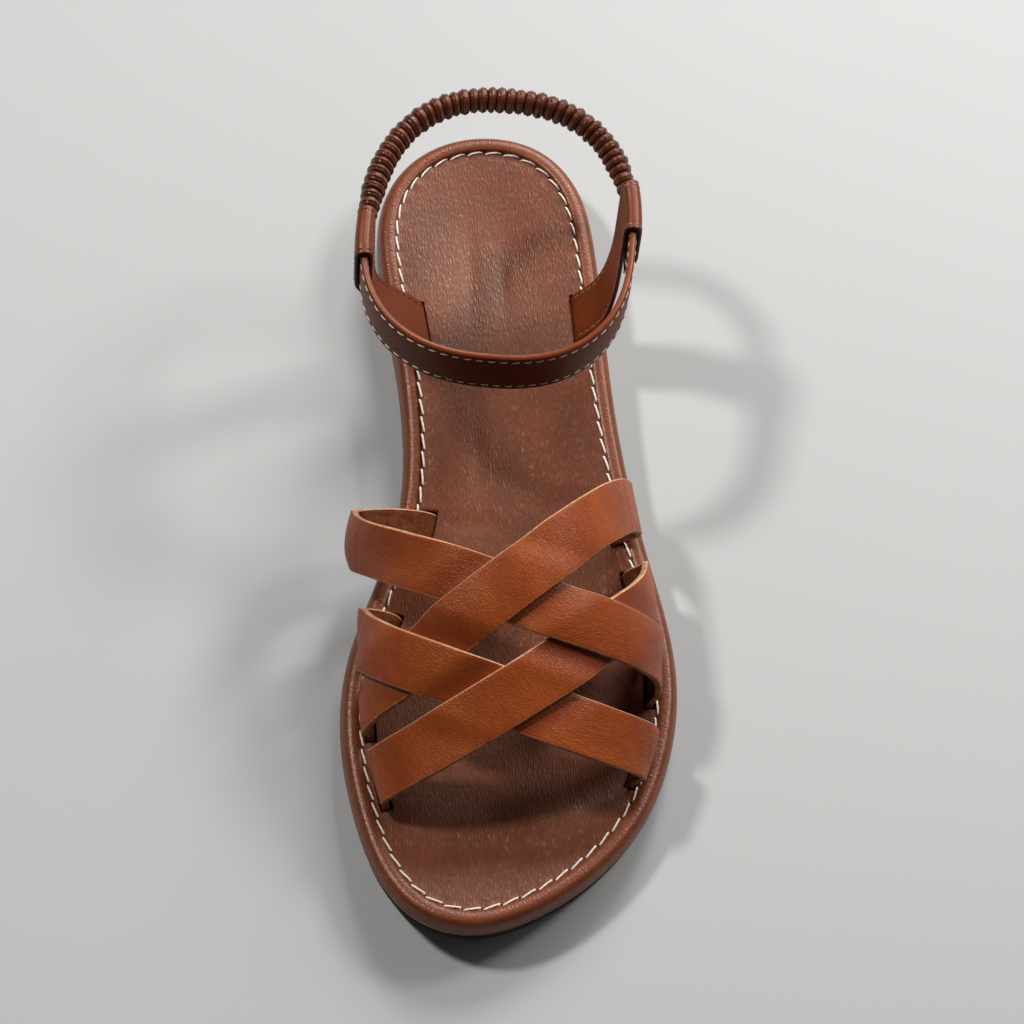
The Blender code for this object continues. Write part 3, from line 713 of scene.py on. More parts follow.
def quarter_surface(quarter, slot_depth, places, offsets):
    """Points of a quarter strap's middle surface and their directions towards its outer face."""
    def line(offset):
        return spline_at(quarter_controls(quarter, slot_depth, offset), places)

    points = np.stack([line(offset) for offset in offsets], axis=1)
    ahead = np.gradient(points, axis=0)
    across = np.stack([line(offset + ALONG_STEP) - line(offset - ALONG_STEP) for offset in offsets], axis=1)
    return points, unit(np.cross(ahead, across))


# Meshes

# What each point of a mesh carries, with its kind, field and size, and the order of a strap's materials
# shade darkens a surface towards its leather's crease colour where shade falls: painted shade
VALUES = {"place": ("FLOAT_VECTOR", "vector", 3), "shade": ("FLOAT", "value", 1)}
GRAIN_SIDE, CUT_EDGE, FLESH_SIDE, BACK_EDGE = range(4)


class Skin:
    """Points, faces and named values of one mesh, gathered grid by grid."""

    def __init__(self):
        self.points = []
        self.faces = []
        self.looks = []
        self.values = {name: [] for name in VALUES}
        self.count = 0

    def add(self, points, **values):
        """Adds a grid of points and gives back their numbers in the same grid."""
        points = np.asarray(points, dtype=float)
        shape = points.shape[:-1]
        numbers = self.count + np.arange(math.prod(shape)).reshape(shape)
        self.count += numbers.size
        self.points.append(points.reshape(-1, 3))
        for name, (_, _, size) in VALUES.items():
            full = np.broadcast_to(np.asarray(values.get(name, 0.0)), shape + (size,) * (size > 1))
            self.values[name].append(full.reshape(-1, size))
        return numbers

    def weave(self, grid, around=False, looks=0):
        """Four-sided faces between the rows of a grid; around joins its last column to its first."""
        left = grid if around else grid[:, :-1]
        right = np.roll(grid, -1, axis=1) if around else grid[:, 1:]
        quads = np.stack([left[:-1], right[:-1], right[1:], left[1:]], axis=-1)
        self.faces.extend(quads.reshape(-1, 4).tolist())
        self.looks.extend(np.broadcast_to(looks, quads.shape[:2]).ravel().tolist())

    def cap(self, ring, look=0):
        self.faces.append(ring.tolist())
        self.looks.append(look)

    def wall(self, rings, looks=0, **values):
        """Joined rings with both ends open."""
        grid = self.add(rings, **values)
        self.weave(grid, around=True, looks=looks)
        return grid

    def tube(self, rings, looks=0, end_look=0, **values):
        """Joined rings with both ends closed."""
        grid = self.wall(rings, looks, **values)
        self.cap(grid[0], end_look)
        self.cap(grid[-1][::-1], end_look)

    def fill(self, ring, height, columns):
        """A surface across a sole-shaped ring, in rows from its outer to its inner side."""
        corners = np.vstack(self.points)[ring]
        outer = np.arange(1, SIDE_STEPS)
        inner = len(ring) - outer
        shares = np.linspace(0.0, 1.0, columns + 2)[1:-1, None]
        flat = corners[outer, None, :2] * (1 - shares) + corners[inner, None, :2] * shares
        points = np.concatenate([flat, height(flat[..., 0], flat[..., 1])[..., None]], axis=-1)
        inside = self.add(points, place=flat_place(flat))
        grid = np.concatenate([ring[outer, None], inside, ring[inner, None]], axis=1)
        self.weave(grid)
        for tip, row in ((ring[0], grid[0]), (ring[SIDE_STEPS], grid[-1])):
            for pair in zip(row[:-1], row[1:]):
                self.cap(np.array([tip, *pair]))


def grain_place(*parts):
    """Grain places put together from their three parts."""
    return np.stack(np.broadcast_arrays(*parts), axis=-1)


def flat_place(flat):
    """Grain places of a surface seen from above: along the foot, then across it."""
    return grain_place(flat[..., 1], flat[..., 0], 0.0)


def add_object(name, data):
    thing = bpy.data.objects.new(name, data)
    bpy.context.scene.collection.objects.link(thing)
    return thing


def make_mesh_object(name, skin, materials):
    mesh = bpy.data.meshes.new(name)
    mesh.from_pydata(((np.vstack(skin.points) - SHIFT) * MM).tolist(), [], skin.faces)
    for material in materials:
        mesh.materials.append(material)
    mesh.polygons.foreach_set("material_index", skin.looks)
    for value_name, (kind, field, _) in VALUES.items():
        attribute = mesh.attributes.new(value_name, kind, "POINT")
        attribute.data.foreach_set(field, np.concatenate(skin.values[value_name]).ravel())
    work = bmesh.new()
    work.from_mesh(mesh)
    bmesh.ops.recalc_face_normals(work, faces=work.faces)
    work.to_mesh(mesh)
    work.free()
    mesh.shade_smooth()
    mesh.set_sharp_from_angle(angle=SHARP_ANGLE)
    return add_object(name, mesh)


def make_piece(name, skin, materials, slot, *nodes):
    """One visible piece, riding on the sandal's body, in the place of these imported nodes."""
    piece = make_mesh_object(name, skin, materials)
    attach(piece, BODY)
    if nodes:
        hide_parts(*nodes)
    return piece


def strap_section(width, thick, corner, back_look=CUT_EDGE):
    """Round a strap's section: offsets across, heights through its thickness, and the look of each step.

    The edge that points back can have a look of its own; the straps give it a lighter copy of the cut edge, a
    painted highlight.
    """
    flat = width / 2 - corner
    half = thick / 2
    turn = np.linspace(0.0, math.pi / 2, CORNER_STEPS)[1:]
    across = np.linspace(-flat, flat, STRAP_COLUMNS)
    face = np.full(STRAP_COLUMNS, half)
    corner_across = flat + corner * np.sin(turn)
    corner_up = half - corner + corner * np.cos(turn)
    edge_across = np.concatenate([corner_across, corner_across[::-1]])
    edge_up = np.concatenate([corner_up, -corner_up[::-1]])
    offsets = np.concatenate([across, edge_across, across[::-1], -edge_across])
    heights = np.concatenate([face, edge_up, -face, -edge_up])
    looks = np.repeat([GRAIN_SIDE, back_look, FLESH_SIDE, CUT_EDGE], [len(face), len(edge_up)] * 2)
    return offsets, heights, looks


# Pieces of the sole

def wall_rings(insets, heights):
    """Rings round the sole, a row for each inset; heights is read from the places of their points."""
    lines = EDGE + EDGE_INWARD * insets[..., None]
    return np.concatenate([lines, heights(lines[..., 0], lines[..., 1])[..., None]], axis=-1)


def wall_place(points):
    """Grain places of a wall: a circle as long as the sole's edge, so that its ends meet, and up the wall."""
    turn = 2 * math.pi * EDGE_LENGTHS[:-1] / EDGE_LENGTHS[-1]
    reach = EDGE_LENGTHS[-1] / (2 * math.pi)
    return grain_place(reach * np.cos(turn), reach * np.sin(turn), lengths_along(points))


def make_outsole(material):
    def tread(x, y):
        rows = np.resize(TREAD_ROWS, x.shape[0])
        columns = np.arange(x.shape[1])
        inside = (columns >= TREAD_BORDER) & (columns < x.shape[1] - TREAD_BORDER)
        return underside_at(y) + TREAD_DEPTH * rows[:, None] * inside

    insets, lifts = rounded_rows(OUTSOLE_WALL, OUTSOLE_ROWS)
    points = wall_rings(insets, lambda x, y: underside_at(y) + lifts)
    skin = Skin()
    grid = skin.wall(points, place=wall_place(points))
    skin.fill(grid[-1], lambda x, y: underside_at(y) + OUTSOLE_THICK, PLAIN_COLUMNS)
    skin.fill(grid[0], tread, TREAD_COLUMNS)
    make_piece("outsole_tread", skin, [material], "outsole_rubber", "outsole")


def make_midsole(material):
    def base_at(along):
        return underside_at(along) + OUTSOLE_THICK + PIECE_GAP

    insets, shares, lifts = rounded_rows(MIDSOLE_WALL, MIDSOLE_ROWS)
    points = wall_rings(insets, lambda x, y: base_at(y) * (1 - shares) + rim_at(y) * shares + lifts)
    skin = Skin()
    grid = skin.wall(points, place=wall_place(points))
    skin.fill(grid[0], lambda x, y: base_at(y), PLAIN_COLUMNS)
    skin.fill(grid[-1], lambda x, y: rim_at(y) - RECESS_DEPTH, PLAIN_COLUMNS)
    make_piece("rolled_rim", skin, [material], "rim_leather", "midsole")


# The line of the footbed's stitches seen from above, and how many stitches go round it
BED_SEAM_LINE = edge_line(BED_SEAM_INSET)
BED_SEAM_LENGTHS = lengths_along(closed_line(BED_SEAM_LINE))
BED_STITCHES = round(BED_SEAM_LENGTHS[-1] / SEAMS["footbed"]["pitch"])


def bed_surface(across, along):
    """The top of the footbed with its dents."""
    return add_forms(bed_height(across, along), BED_DENTS, across, along)


def pucker(inset):
    """How far the stitches pull the leather down, deepest at the needle holes."""
    wave = np.cos(2 * math.pi * BED_STITCHES * BED_SEAM_LENGTHS[:-1] / BED_SEAM_LENGTHS[-1])
    near = np.exp(-(((inset - BED_SEAM_INSET) / PUCKER_REACH) ** 2))
    return -PUCKER_DEPTH * (1 + wave) / 2 * near


def make_insole(materials):
    def floor(_, y):
        return rim_at(y) - RECESS_DEPTH + PIECE_GAP

    insets, lifts = rounded_rows(INSOLE_WALL, BED_EDGE_ROWS)
    edge = wall_rings(insets, lambda x, y: bed_surface(x, y) + lifts + pucker(insets))
    bottom = wall_rings(np.array([[BED_EDGE_INSET]]), floor)
    points = np.concatenate([bottom, edge])
    skin = Skin()
    grid = skin.wall(points, place=flat_place(points))
    skin.fill(grid[0], floor, PLAIN_COLUMNS)
    skin.fill(grid[-1], bed_surface, BED_COLUMNS)
    piece = make_piece("footbed", skin, materials, "footbed_leather", "insole")

    # The cutters carry the dark hole colour, painted shade for the slot walls
    cutter = make_mesh_object("footbed_slots", slot_cutters(), materials[1:])
    modifier = piece.modifiers.new("slots", "BOOLEAN")
    modifier.operation = "DIFFERENCE"
    modifier.solver = "EXACT"
    modifier.object = cutter
    settle_mesh(piece)
    bpy.data.objects.remove(cutter, do_unlink=True)


def settle_mesh(piece):
    """Keeps what the modifiers make as the piece's own mesh."""
    graph = bpy.context.evaluated_depsgraph_get()
    mesh = bpy.data.meshes.new_from_object(piece.evaluated_get(graph))
    piece.modifiers.clear()
    piece.data = mesh


def slot_cutters():
    """The ten slots in the footbed, a little larger all round than the straps that go down through them."""
    skin = Skin()
    for strap in STRAPS.values():
        for side in OUTWARD:
            skin.tube(strap_slot(strap, side))
    for quarter in QUARTERS.values():
        skin.tube(quarter_slot(quarter))
    return skin


def slab(middle, half_thick):
    """Rings round a slab, from its middle surface and half its thickness."""
    return np.concatenate([middle + half_thick, (middle - half_thick)[:, ::-1]], axis=1)


def strap_slot(strap, side):
    line = strap_line(strap, DENSE_STEPS)
    base = rim_at(strap_along(strap, line)) - BED_DROP
    height = strap_middle(strap, line)[:, 2] - base
    half = line < LAST_T / 2 if side == "inner" else line > LAST_T / 2
    chosen = line[half & (height < CUTTER_RISE)]
    chosen = np.interp(np.linspace(0, 1, CUTTER_SECTIONS), np.linspace(0, 1, len(chosen)), chosen)
    t, along = strap_places(strap, chosen, (STRAP_WIDTH + 2 * SLOT_END) * CUTTER_SHARES)
    outward = surface_frame(strap, t, along)[2]
    rings = slab(last_point(strap, t, along), outward * (STRAP_THICK / 2 + SLOT_SIDE))
    foot = rings[0 if side == "inner" else -1].copy()
    foot[:, 2] -= CUTTER_DEPTH - SLOT_DEPTH
    return np.concatenate([foot[None], rings] if side == "inner" else [rings, foot[None]])


def quarter_slot(quarter):
    places = quarter_places(quarter, CUTTER_DEPTH, DENSE_STEPS)
    offsets = (LOOP_WIDTH + 2 * SLOT_END) * CUTTER_SHARES
    points, outward = quarter_surface(quarter, CUTTER_DEPTH, places, offsets)
    top = rim_at(quarter["slot_along"]) + CUTTER_RISE
    rows = np.searchsorted(points[: DENSE_STEPS // 2, 0, 2], top)
    return slab(points[:rows], outward[:rows] * (LOOP_THICK / 2 + SLOT_SIDE))


# Straps

def crease_depth(name, line, lengths, across):
    """The soft creases of one strap: a depth for each section and offset across."""
    depth = np.zeros((len(line), len(across)))
    for t, slant, half_long, deep in STRAP_CREASES[name]:
        middle = np.interp(t, line, lengths)
        apart = lengths[:, None] - middle - slant * across
        depth += deep * np.exp(-((apart / half_long) ** 2))
    return depth


def add_strap(skin, name, seed):
    """One woven strap, from slot to slot."""
    strap = STRAPS[name]
    offsets, heights, looks = strap_section(STRAP_WIDTH, STRAP_THICK, STRAP_CORNER, BACK_EDGE)
    line = strap_line(strap, STRAP_SECTIONS)
    lengths = lengths_along(strap_middle(strap, line))
    t, along = strap_places(strap, line, offsets)
    middle = last_point(strap, t, along)
    outward = surface_frame(strap, t, along)[2]
    lift, covered = crossing_lift(name, middle)
    crown = STRAP_CROWN * (1 - (2 * offsets / STRAP_WIDTH) ** 2) * (heights > 0)
    crease = crease_depth(name, line, lengths, offsets) * (heights > 0)
    points = middle + outward * (lift + heights + crown - crease)[..., None]
    ways = (offsets, lengths[:, None]) if name in CROSS_GRAIN else (lengths[:, None], offsets)
    place = grain_place(*ways, seed)
    # The strap is darkened where it passes under another strap: a painted shadow
    skin.tube(points, looks, FLESH_SIDE, place=place, shade=COVERED_PAINTED_SHADOW * covered)


def make_straps(materials):
    skin = Skin()
    for number, name in enumerate(STRAPS):
        add_strap(skin, name, number * STRAP_SEED_STEP)
    make_piece("vamp_straps", skin, materials, "strap_leather", "vamp_upper")


def seam_groove(offsets, seam):
    """The shallow groove that a row of stitches presses into leather near both edges."""
    return GROOVE_DEPTH * np.exp(-(((np.abs(offsets) - seam) / GROOVE_HALF) ** 2))


def make_quarter(name, materials, seed):
    quarter = QUARTERS[name]
    offsets, heights, looks = strap_section(LOOP_WIDTH, LOOP_THICK, LOOP_CORNER)
    places = quarter_places(quarter, SLOT_DEPTH, LOOP_SECTIONS)
    middle, outward = quarter_surface(quarter, SLOT_DEPTH, places, offsets)
    lengths = lengths_along(middle[:, STRAP_COLUMNS // 2])
    groove = seam_groove(offsets, LOOP_WIDTH / 2 - LOOP_SEAM) * np.sign(heights) / 2
    points = middle + outward * (heights - groove)[:, None]
    # Painted shade darkens the loop from its fold over the ankle strap on
    shade = LOOP_PAINTED_SHADE * smooth_step(places - LOOP_PAINTED_SHADE_START)[:, None]
    skin = Skin()
    skin.tube(points, looks, CUT_EDGE, place=grain_place(lengths[:, None], offsets, seed), shade=shade)
    make_piece(name + "_leather", skin, materials, "quarter_leather", name)


def band_frame():
    """Middle points of the instep band, and its directions outward and up, its top leaning back."""
    ends = loop_ends(BAND_PAST_LOOP)
    angles = even_angles(ends["inner"], ends["outer"] + 2 * math.pi, BAND_SECTIONS)
    outward, up = ring_frame(angles)
    lean = np.radians(BAND_LEAN) * np.minimum(np.sin(angles), 0.0)[:, None] ** 2
    face = outward * np.cos(lean) + up * np.sin(lean)
    rise = up * np.cos(lean) - outward * np.sin(lean)
    return ring_point(angles), face, rise


def make_instep_band(materials):
    middle, face, rise = band_frame()
    offsets, heights, looks = strap_section(BAND_WIDTH, BAND_THICK, BAND_CORNER)
    seam = BAND_WIDTH / 2 - BAND_SEAM
    puff = BAND_PUFF * np.clip(1 - (offsets / seam) ** 2, 0.0, 1.0)
    through = heights + np.sign(heights) * (puff - seam_groove(offsets, seam))
    points = middle[:, None] + rise[:, None] * offsets[:, None] + face[:, None] * through[:, None]
    skin = Skin()
    skin.tube(points, looks, CUT_EDGE, place=grain_place(lengths_along(middle)[:, None], offsets, BAND_SEED))
    make_piece("instep_band_leather", skin, materials, "band_leather", "instep_band")


def pleat_sizes(sections, turn):
    """How large the heel strap is at each section and turn, and how much painted shade it gets: in valleys and
    in folds.
    """
    draw = np.random.default_rng(PLEAT_SEED)
    widths = 1 + PLEAT_WIDTH_SPREAD * draw.uniform(-1, 1, RIDGES)
    sizes = 1 + PLEAT_SIZE_SPREAD * draw.uniform(-1, 1, RIDGES)
    lean = PLEAT_SLANT * draw.uniform(PLEAT_LEAST_SLANT, 1.0, RIDGES)
    sway = PLEAT_FOLD_SWAY * draw.uniform(-1, 1, RIDGES)
    starts = running_sum(widths) * RIDGES / widths.sum()
    along = np.linspace(0.0, RIDGES, sections)
    from_end = np.minimum(along, RIDGES - along)[:, None]
    slant = np.clip(from_end, 0.0, 1.0) * np.interp(along, np.arange(RIDGES) + 0.5, lean)[:, None]
    along = along[:, None] + slant * np.sin(turn)
    count = np.clip(np.searchsorted(starts, along, side="right") - 1, 0, RIDGES - 1)
    phase = np.clip((along - starts[count]) / (starts[count + 1] - starts[count]), 0.0, 1.0)
    swell = np.sin(math.pi * phase) ** PLEAT_POWER
    fold = np.zeros_like(phase)
    for share, depth in PLEAT_FOLDS:
        fold += depth * np.exp(-(((phase - share - sway[count]) / PLEAT_FOLD_HALF) ** 2))
    taper = END_SHARE + (1 - END_SHARE) * np.clip(from_end / TAPER_RIDGES, 0.0, 1.0)
    size = taper * (VALLEY_SHARE + (sizes[count] - VALLEY_SHARE) * swell - fold)
    # Painted shade: darker in the valleys between the pleats and in their folds
    return size, np.clip(1 - swell + PLEAT_FOLD_PAINTED_SHADE * fold, 0.0, 1.0)


def make_heel_strap(material):
    """The gathered elastic strap round the back of the heel: round pleats with deep valleys between them."""
    ends = loop_ends(BAND_PAST_LOOP + PIECE_GAP)
    angles = even_angles(ends["outer"], ends["inner"], RIDGES * RIDGE_STEPS + 1)
    middle = ring_point(angles)
    outward, up = ring_frame(angles)
    turn = full_turn(RIDGE_SIDES)
    size, shade = pleat_sizes(len(angles), turn)
    out = (np.cos(turn) * RIDGE_HALF_THICK * size)[..., None] * outward[:, None]
    high = (np.sin(turn) * RIDGE_HALF_HEIGHT * size)[..., None] * up[:, None]
    around = turn * (RIDGE_HALF_THICK + RIDGE_HALF_HEIGHT) / 2
    place = grain_place(lengths_along(middle)[:, None], around, HEEL_SEED)
    skin = Skin()
    skin.tube(middle[:, None] + out + high, place=place, shade=shade)
    make_piece("heel_strap_pleats", skin, [material], "gathered_leather", "heel_strap")


# Stitches

def sew(skin, line, normals, seam):
    """Stitches along a line that lies on a surface: each rises from one needle hole and sinks in the next."""
    lengths = lengths_along(line)
    count = round(lengths[-1] / seam["pitch"])
    centres = (np.arange(count) + 0.5) * lengths[-1] / count
    half = seam["long"] / 2
    u = np.linspace(-1.0, 1.0, STITCH_SECTIONS)
    at = centres[:, None] + u * half
    normal = unit(read_line(normals, lengths, at))
    ahead = unit(read_line(line, lengths, centres + half) - read_line(line, lengths, centres - half))
    side = unit(np.cross(normal, ahead[:, None]))
    arch = (1 - np.abs(u) ** STITCH_SQUARE)[:, None]
    path = (
        read_line(line, lengths, at)
        + side * (seam["slant"] * u * half)[:, None]
        + normal * (arch * (seam["rise"] + seam["sink"]) - seam["sink"])
    )
    angle = full_turn(THREAD_SIDES)
    ply = 1 + THREAD_PLY * np.cos(2 * angle - THREAD_TWIST * u[:, None])
    ring = seam["thread"] * ply[..., None]
    rings = (
        path[:, :, None]
        + side[:, :, None] * np.cos(angle)[:, None] * ring
        + normal[:, :, None] * np.sin(angle)[:, None] * ring
    )
    for stitch, place in zip(rings, grain_place(at[..., None], angle, 0.0)):
        skin.tube(stitch, place=place)


def sew_faces(skin, line, outward, through, seam):
    """A row of stitches on each face of a strap, this far from its middle surface."""
    for sign in SIGNS:
        normals = outward * sign
        sew(skin, line + normals * through, normals, seam)


def bed_seam():
    """Points of the footbed's seam on its surface, and directions up from them, all round."""
    x, y = BED_SEAM_LINE.T
    insets, lifts = rounded_rows(INSOLE_WALL, BED_EDGE_ROWS)[..., 0]
    points = np.column_stack([x, y, bed_surface(x, y) + np.interp(BED_SEAM_INSET, insets, lifts)])
    by_x = slope(lambda place: bed_surface(place, y), x, ALONG_STEP)
    by_y = slope(lambda place: bed_surface(x, place), y, ALONG_STEP)
    normals = unit(np.column_stack([-by_x, -by_y, np.ones_like(x)]))
    return closed_line(points), closed_line(normals)


def make_footbed_stitches(material):
    skin = Skin()
    sew(skin, *bed_seam(), SEAMS["footbed"])
    make_piece("footbed_stitches", skin, [material], "stitch_thread")


def make_needle_holes(material):
    """A dark disc of painted shade where two stitches of the footbed meet, standing for the needle hole."""
    line, _ = bed_seam()
    lengths = lengths_along(line)
    centres = np.arange(BED_STITCHES) * lengths[-1] / BED_STITCHES
    spots = read_line(line, lengths, centres)
    ahead = unit(read_line(line, lengths, centres + ALONG_STEP) - spots)
    turn = full_turn(HOLE_SIDES)
    skin = Skin()
    for spot, way in zip(spots, ahead):
        long_way = np.outer(np.cos(turn), way) * HOLE_HALF_LONG
        wide_way = np.outer(np.sin(turn), np.cross(UP, way)) * HOLE_HALF_WIDE
        rim = spot + (long_way + wide_way)
        skin.tube(np.stack([rim - UP * SEAMS["footbed"]["sink"], rim + UP * HOLE_PROUD]))
    make_piece("needle_holes", skin, [material], "footbed_leather")


def make_band_stitches(material):
    middle, face, rise = band_frame()
    away = BAND_WIDTH / 2 - BAND_SEAM
    through = BAND_THICK / 2 - GROOVE_DEPTH
    skin = Skin()
    for sign in SIGNS:
        sew_faces(skin, middle + rise * away * sign, face, through, SEAMS["band"])
    make_piece("band_stitches", skin, [material], "stitch_thread")


def make_quarter_stitches(name, material):
    quarter = QUARTERS[name]
    places = quarter_places(quarter, SLOT_DEPTH, LOOP_SECTIONS)
    away = LOOP_WIDTH / 2 - LOOP_SEAM
    middle, outward = quarter_surface(quarter, SLOT_DEPTH, places, [away * sign for sign in SIGNS])
    shown = middle[:, 0, 2] > rim_at(quarter["slot_along"])
    through = LOOP_THICK / 2 - GROOVE_DEPTH / 2
    skin = Skin()
    for row in range(len(SIGNS)):
        sew_faces(skin, middle[shown, row], outward[shown, row], through, SEAMS["quarter"])
    make_piece(name + "_stitches", skin, [material], "stitch_thread")


# Materials

class Paint:
    """Nodes of one procedural material, added and linked by short calls."""

    def __init__(self, name):
        self.material = bpy.data.materials.new(name)
        self.material.use_nodes = True
        self.tree = self.material.node_tree
        self.shader = self.tree.nodes["Principled BSDF"]

    def give(self, node, inputs):
        """Sets a node's inputs, by a number, a colour or a link."""
        for key, value in inputs.items():
            if isinstance(value, bpy.types.NodeSocket):
                self.tree.links.new(value, node.inputs[key])
            else:
                node.inputs[key].default_value = value

    def node(self, kind, inputs, **settings):
        node = self.tree.nodes.new("ShaderNode" + kind)
        for key, value in settings.items():
            setattr(node, key, value)
        self.give(node, inputs)
        return node

    def value(self, name, output):
        return self.node("Attribute", {}, attribute_name=name).outputs[output]

    def scaled(self, vector, sizes):
        """A place measured in grains of these sizes."""
        scale = tuple(1 / size for size in sizes)
        return self.node("VectorMath", {0: vector, 1: scale}, operation="MULTIPLY").outputs[0]

    def moved(self, vector, sway, reach):
        """A place moved to and fro by a noise."""
        inputs = {0: sway, 1: (reach, reach, reach), 2: vector}
        return self.node("VectorMath", inputs, operation="MULTIPLY_ADD").outputs[0]

    def noise(self, vector, detail=2.0, output="Fac"):
        return self.node("TexNoise", {"Vector": vector, "Scale": 1.0, "Detail": detail}).outputs[output]

    def cells(self, vector):
        """How far a place is from the edge of its grain cell."""
        inputs = {"Vector": vector, "Scale": 1.0}
        return self.node("TexVoronoi", inputs, feature="DISTANCE_TO_EDGE").outputs["Distance"]

    def spread(self, value, low, high, to_low=0.0, to_high=1.0):
        inputs = {"Value": value, "From Min": low, "From Max": high, "To Min": to_low, "To Max": to_high}
        return self.node("MapRange", inputs, interpolation_type="SMOOTHSTEP").outputs["Result"]

    def maths(self, operation, *values):
        return self.node("Math", dict(enumerate(values)), operation=operation).outputs[0]

    def mix(self, factor, *colours):
        first, second = (
            colour if isinstance(colour, bpy.types.NodeSocket) else (*colour, 1.0) for colour in colours
        )
        return self.node("Mix", {0: factor, 6: first, 7: second}, data_type="RGBA").outputs[2]

    def bump(self, height, depth):
        inputs = {"Height": height, "Distance": depth * MM, "Strength": 1.0}
        return self.node("Bump", inputs).outputs["Normal"]

    def finish(self, **inputs):
        self.give(self.shader, {key.replace("_", " "): value for key, value in inputs.items()})
        return self.material


# Leathers: two colours they vary between, the colour of their creases, which is partly their own darker tone
# and partly painted shade and which painted shade from the mesh also mixes to, sizes of grain cells and of
# wrinkles along and across the piece, depth of the grain, roughness on crowns and in creases, and their top
# finish
LEATHERS = named_rows("dark light crease cell wrinkle depth rough specular coat", {
    "strap_grain": (
        (0.25, 0.042, 0.007), (0.35, 0.074, 0.013), (0.13, 0.02, 0.003),
        (0.9, 0.65), (3.6, 1.1), 0.095, (0.32, 0.46), 0.28, 0.0,
    ),
    "footbed_grain": (
        (0.125, 0.026, 0.0075), (0.175, 0.04, 0.012), (0.055, 0.01, 0.003),
        (2.6, 0.68), (7.0, 1.1), 0.075, (0.28, 0.42), 0.45, 0.0,
    ),
    "rim_grain": (
        (0.15, 0.034, 0.011), (0.21, 0.05, 0.018), (0.08, 0.015, 0.004),
        (1.0, 1.0, 1.3), (1.4, 1.4, 5.0), 0.065, (0.27, 0.4), 0.5, 0.0,
    ),
    "band_grain": (
        (0.11, 0.021, 0.005), (0.16, 0.034, 0.01), (0.06, 0.01, 0.003),
        (0.7, 0.6), (2.5, 0.8), 0.04, (0.4, 0.52), 0.16, 0.0,
    ),
    "quarter_grain": (
        (0.18, 0.032, 0.006), (0.25, 0.05, 0.011), (0.1, 0.015, 0.003),
        (0.7, 0.6), (0.8, 3.0), 0.03, (0.28, 0.4), 0.5, 0.0,
    ),
    "gathered_grain": (
        (0.095, 0.018, 0.0045), (0.16, 0.033, 0.009), (0.035, 0.006, 0.002),
        (0.6, 0.7), (0.6, 5.0), 0.08, (0.22, 0.4), 0.5, 0.25,
    ),
})
CLOUD_SIZE = (26.0, 17.0, 5.0)
CLOUD_DETAIL = 3.0
CLOUD_RANGE = (0.3, 0.7)
SWAY_SIZE = (6.0, 6.0, 5.0)
SWAY_REACH = 1.5
SEED_SIZE = 1.0
FINE_SIZE = (0.45, 0.45, 1.0)
WRINKLE_DETAIL = 1.0
WRINKLE_MIDDLE = 0.5
WRINKLE_HALF = 0.28
CELL_EDGE = 0.42
GRAIN_WEIGHTS = {"cells": 0.55, "wrinkles": 0.38, "fine": 0.07}
# How far the grain's creases darken: partly their own darker tone, partly painted shade
CREASE_TONE_AND_PAINTED_SHADE = 0.36
CREASE_RANGE = (0.05, 0.5)
ROUGH_RANGE = (0.15, 0.8)
COAT_ROUGH = 0.15
SHINE_TINT = (1.0, 0.84, 0.7, 1.0)
# How far painted shade from the mesh mixes a leather towards its crease colour
PAINTED_SHADE_STRENGTH = 0.8

# Fibrous and napped surfaces: two colours, sizes of their specks along and across, depth, roughness and sheen
FIBRES = named_rows("dark light speck depth rough sheen", {
    "suede": ((0.06, 0.013, 0.003), (0.16, 0.042, 0.011), (0.3, 0.3), 0.22, 0.9, 0.0),
    "cut_edge": ((0.22, 0.07, 0.026), (0.42, 0.17, 0.08), (1.2, 0.25), 0.05, 0.45, 0.0),
    # A lighter copy of the cut edge for the straps' back edges: a painted highlight
    "painted_highlight_edge": ((0.42, 0.18, 0.085), (0.68, 0.38, 0.22), (1.2, 0.25), 0.04, 0.36, 0.0),
    "painted_edge": ((0.03, 0.008, 0.004), (0.07, 0.02, 0.01), (0.8, 0.3), 0.04, 0.45, 0.0),
    "cream_thread": ((0.78, 0.68, 0.56), (0.97, 0.89, 0.79), (0.5, 0.3), 0.05, 0.6, 0.2),
    "dark_thread": ((0.03, 0.008, 0.004), (0.08, 0.025, 0.012), (0.5, 0.3), 0.05, 0.6, 0.1),
    "tan_thread": ((0.3, 0.14, 0.08), (0.6, 0.36, 0.24), (0.5, 0.3), 0.05, 0.6, 0.2),
    "rubber": ((0.012, 0.009, 0.008), (0.03, 0.022, 0.018), (0.5, 0.5), 0.08, 0.7, 0.0),
    # Painted shade: the dark colour of the needle holes, also given to the footbed and its slot cutters
    "hole": ((0.025, 0.008, 0.003), (0.05, 0.015, 0.006), (0.4, 0.4), 0.05, 0.9, 0.0),
})
FIBRE_SPECULAR = 0.2
SPECK_DETAIL = 4.0
SPECK_RANGE = (0.35, 0.65)
PATCH_SPECKS = 6
PATCH_SHARE = 0.5


def grain_sizes(sizes):
    """Three sizes of a grain, the third being a step between seeds unless it is given."""
    return (*sizes, SEED_SIZE)[:3]


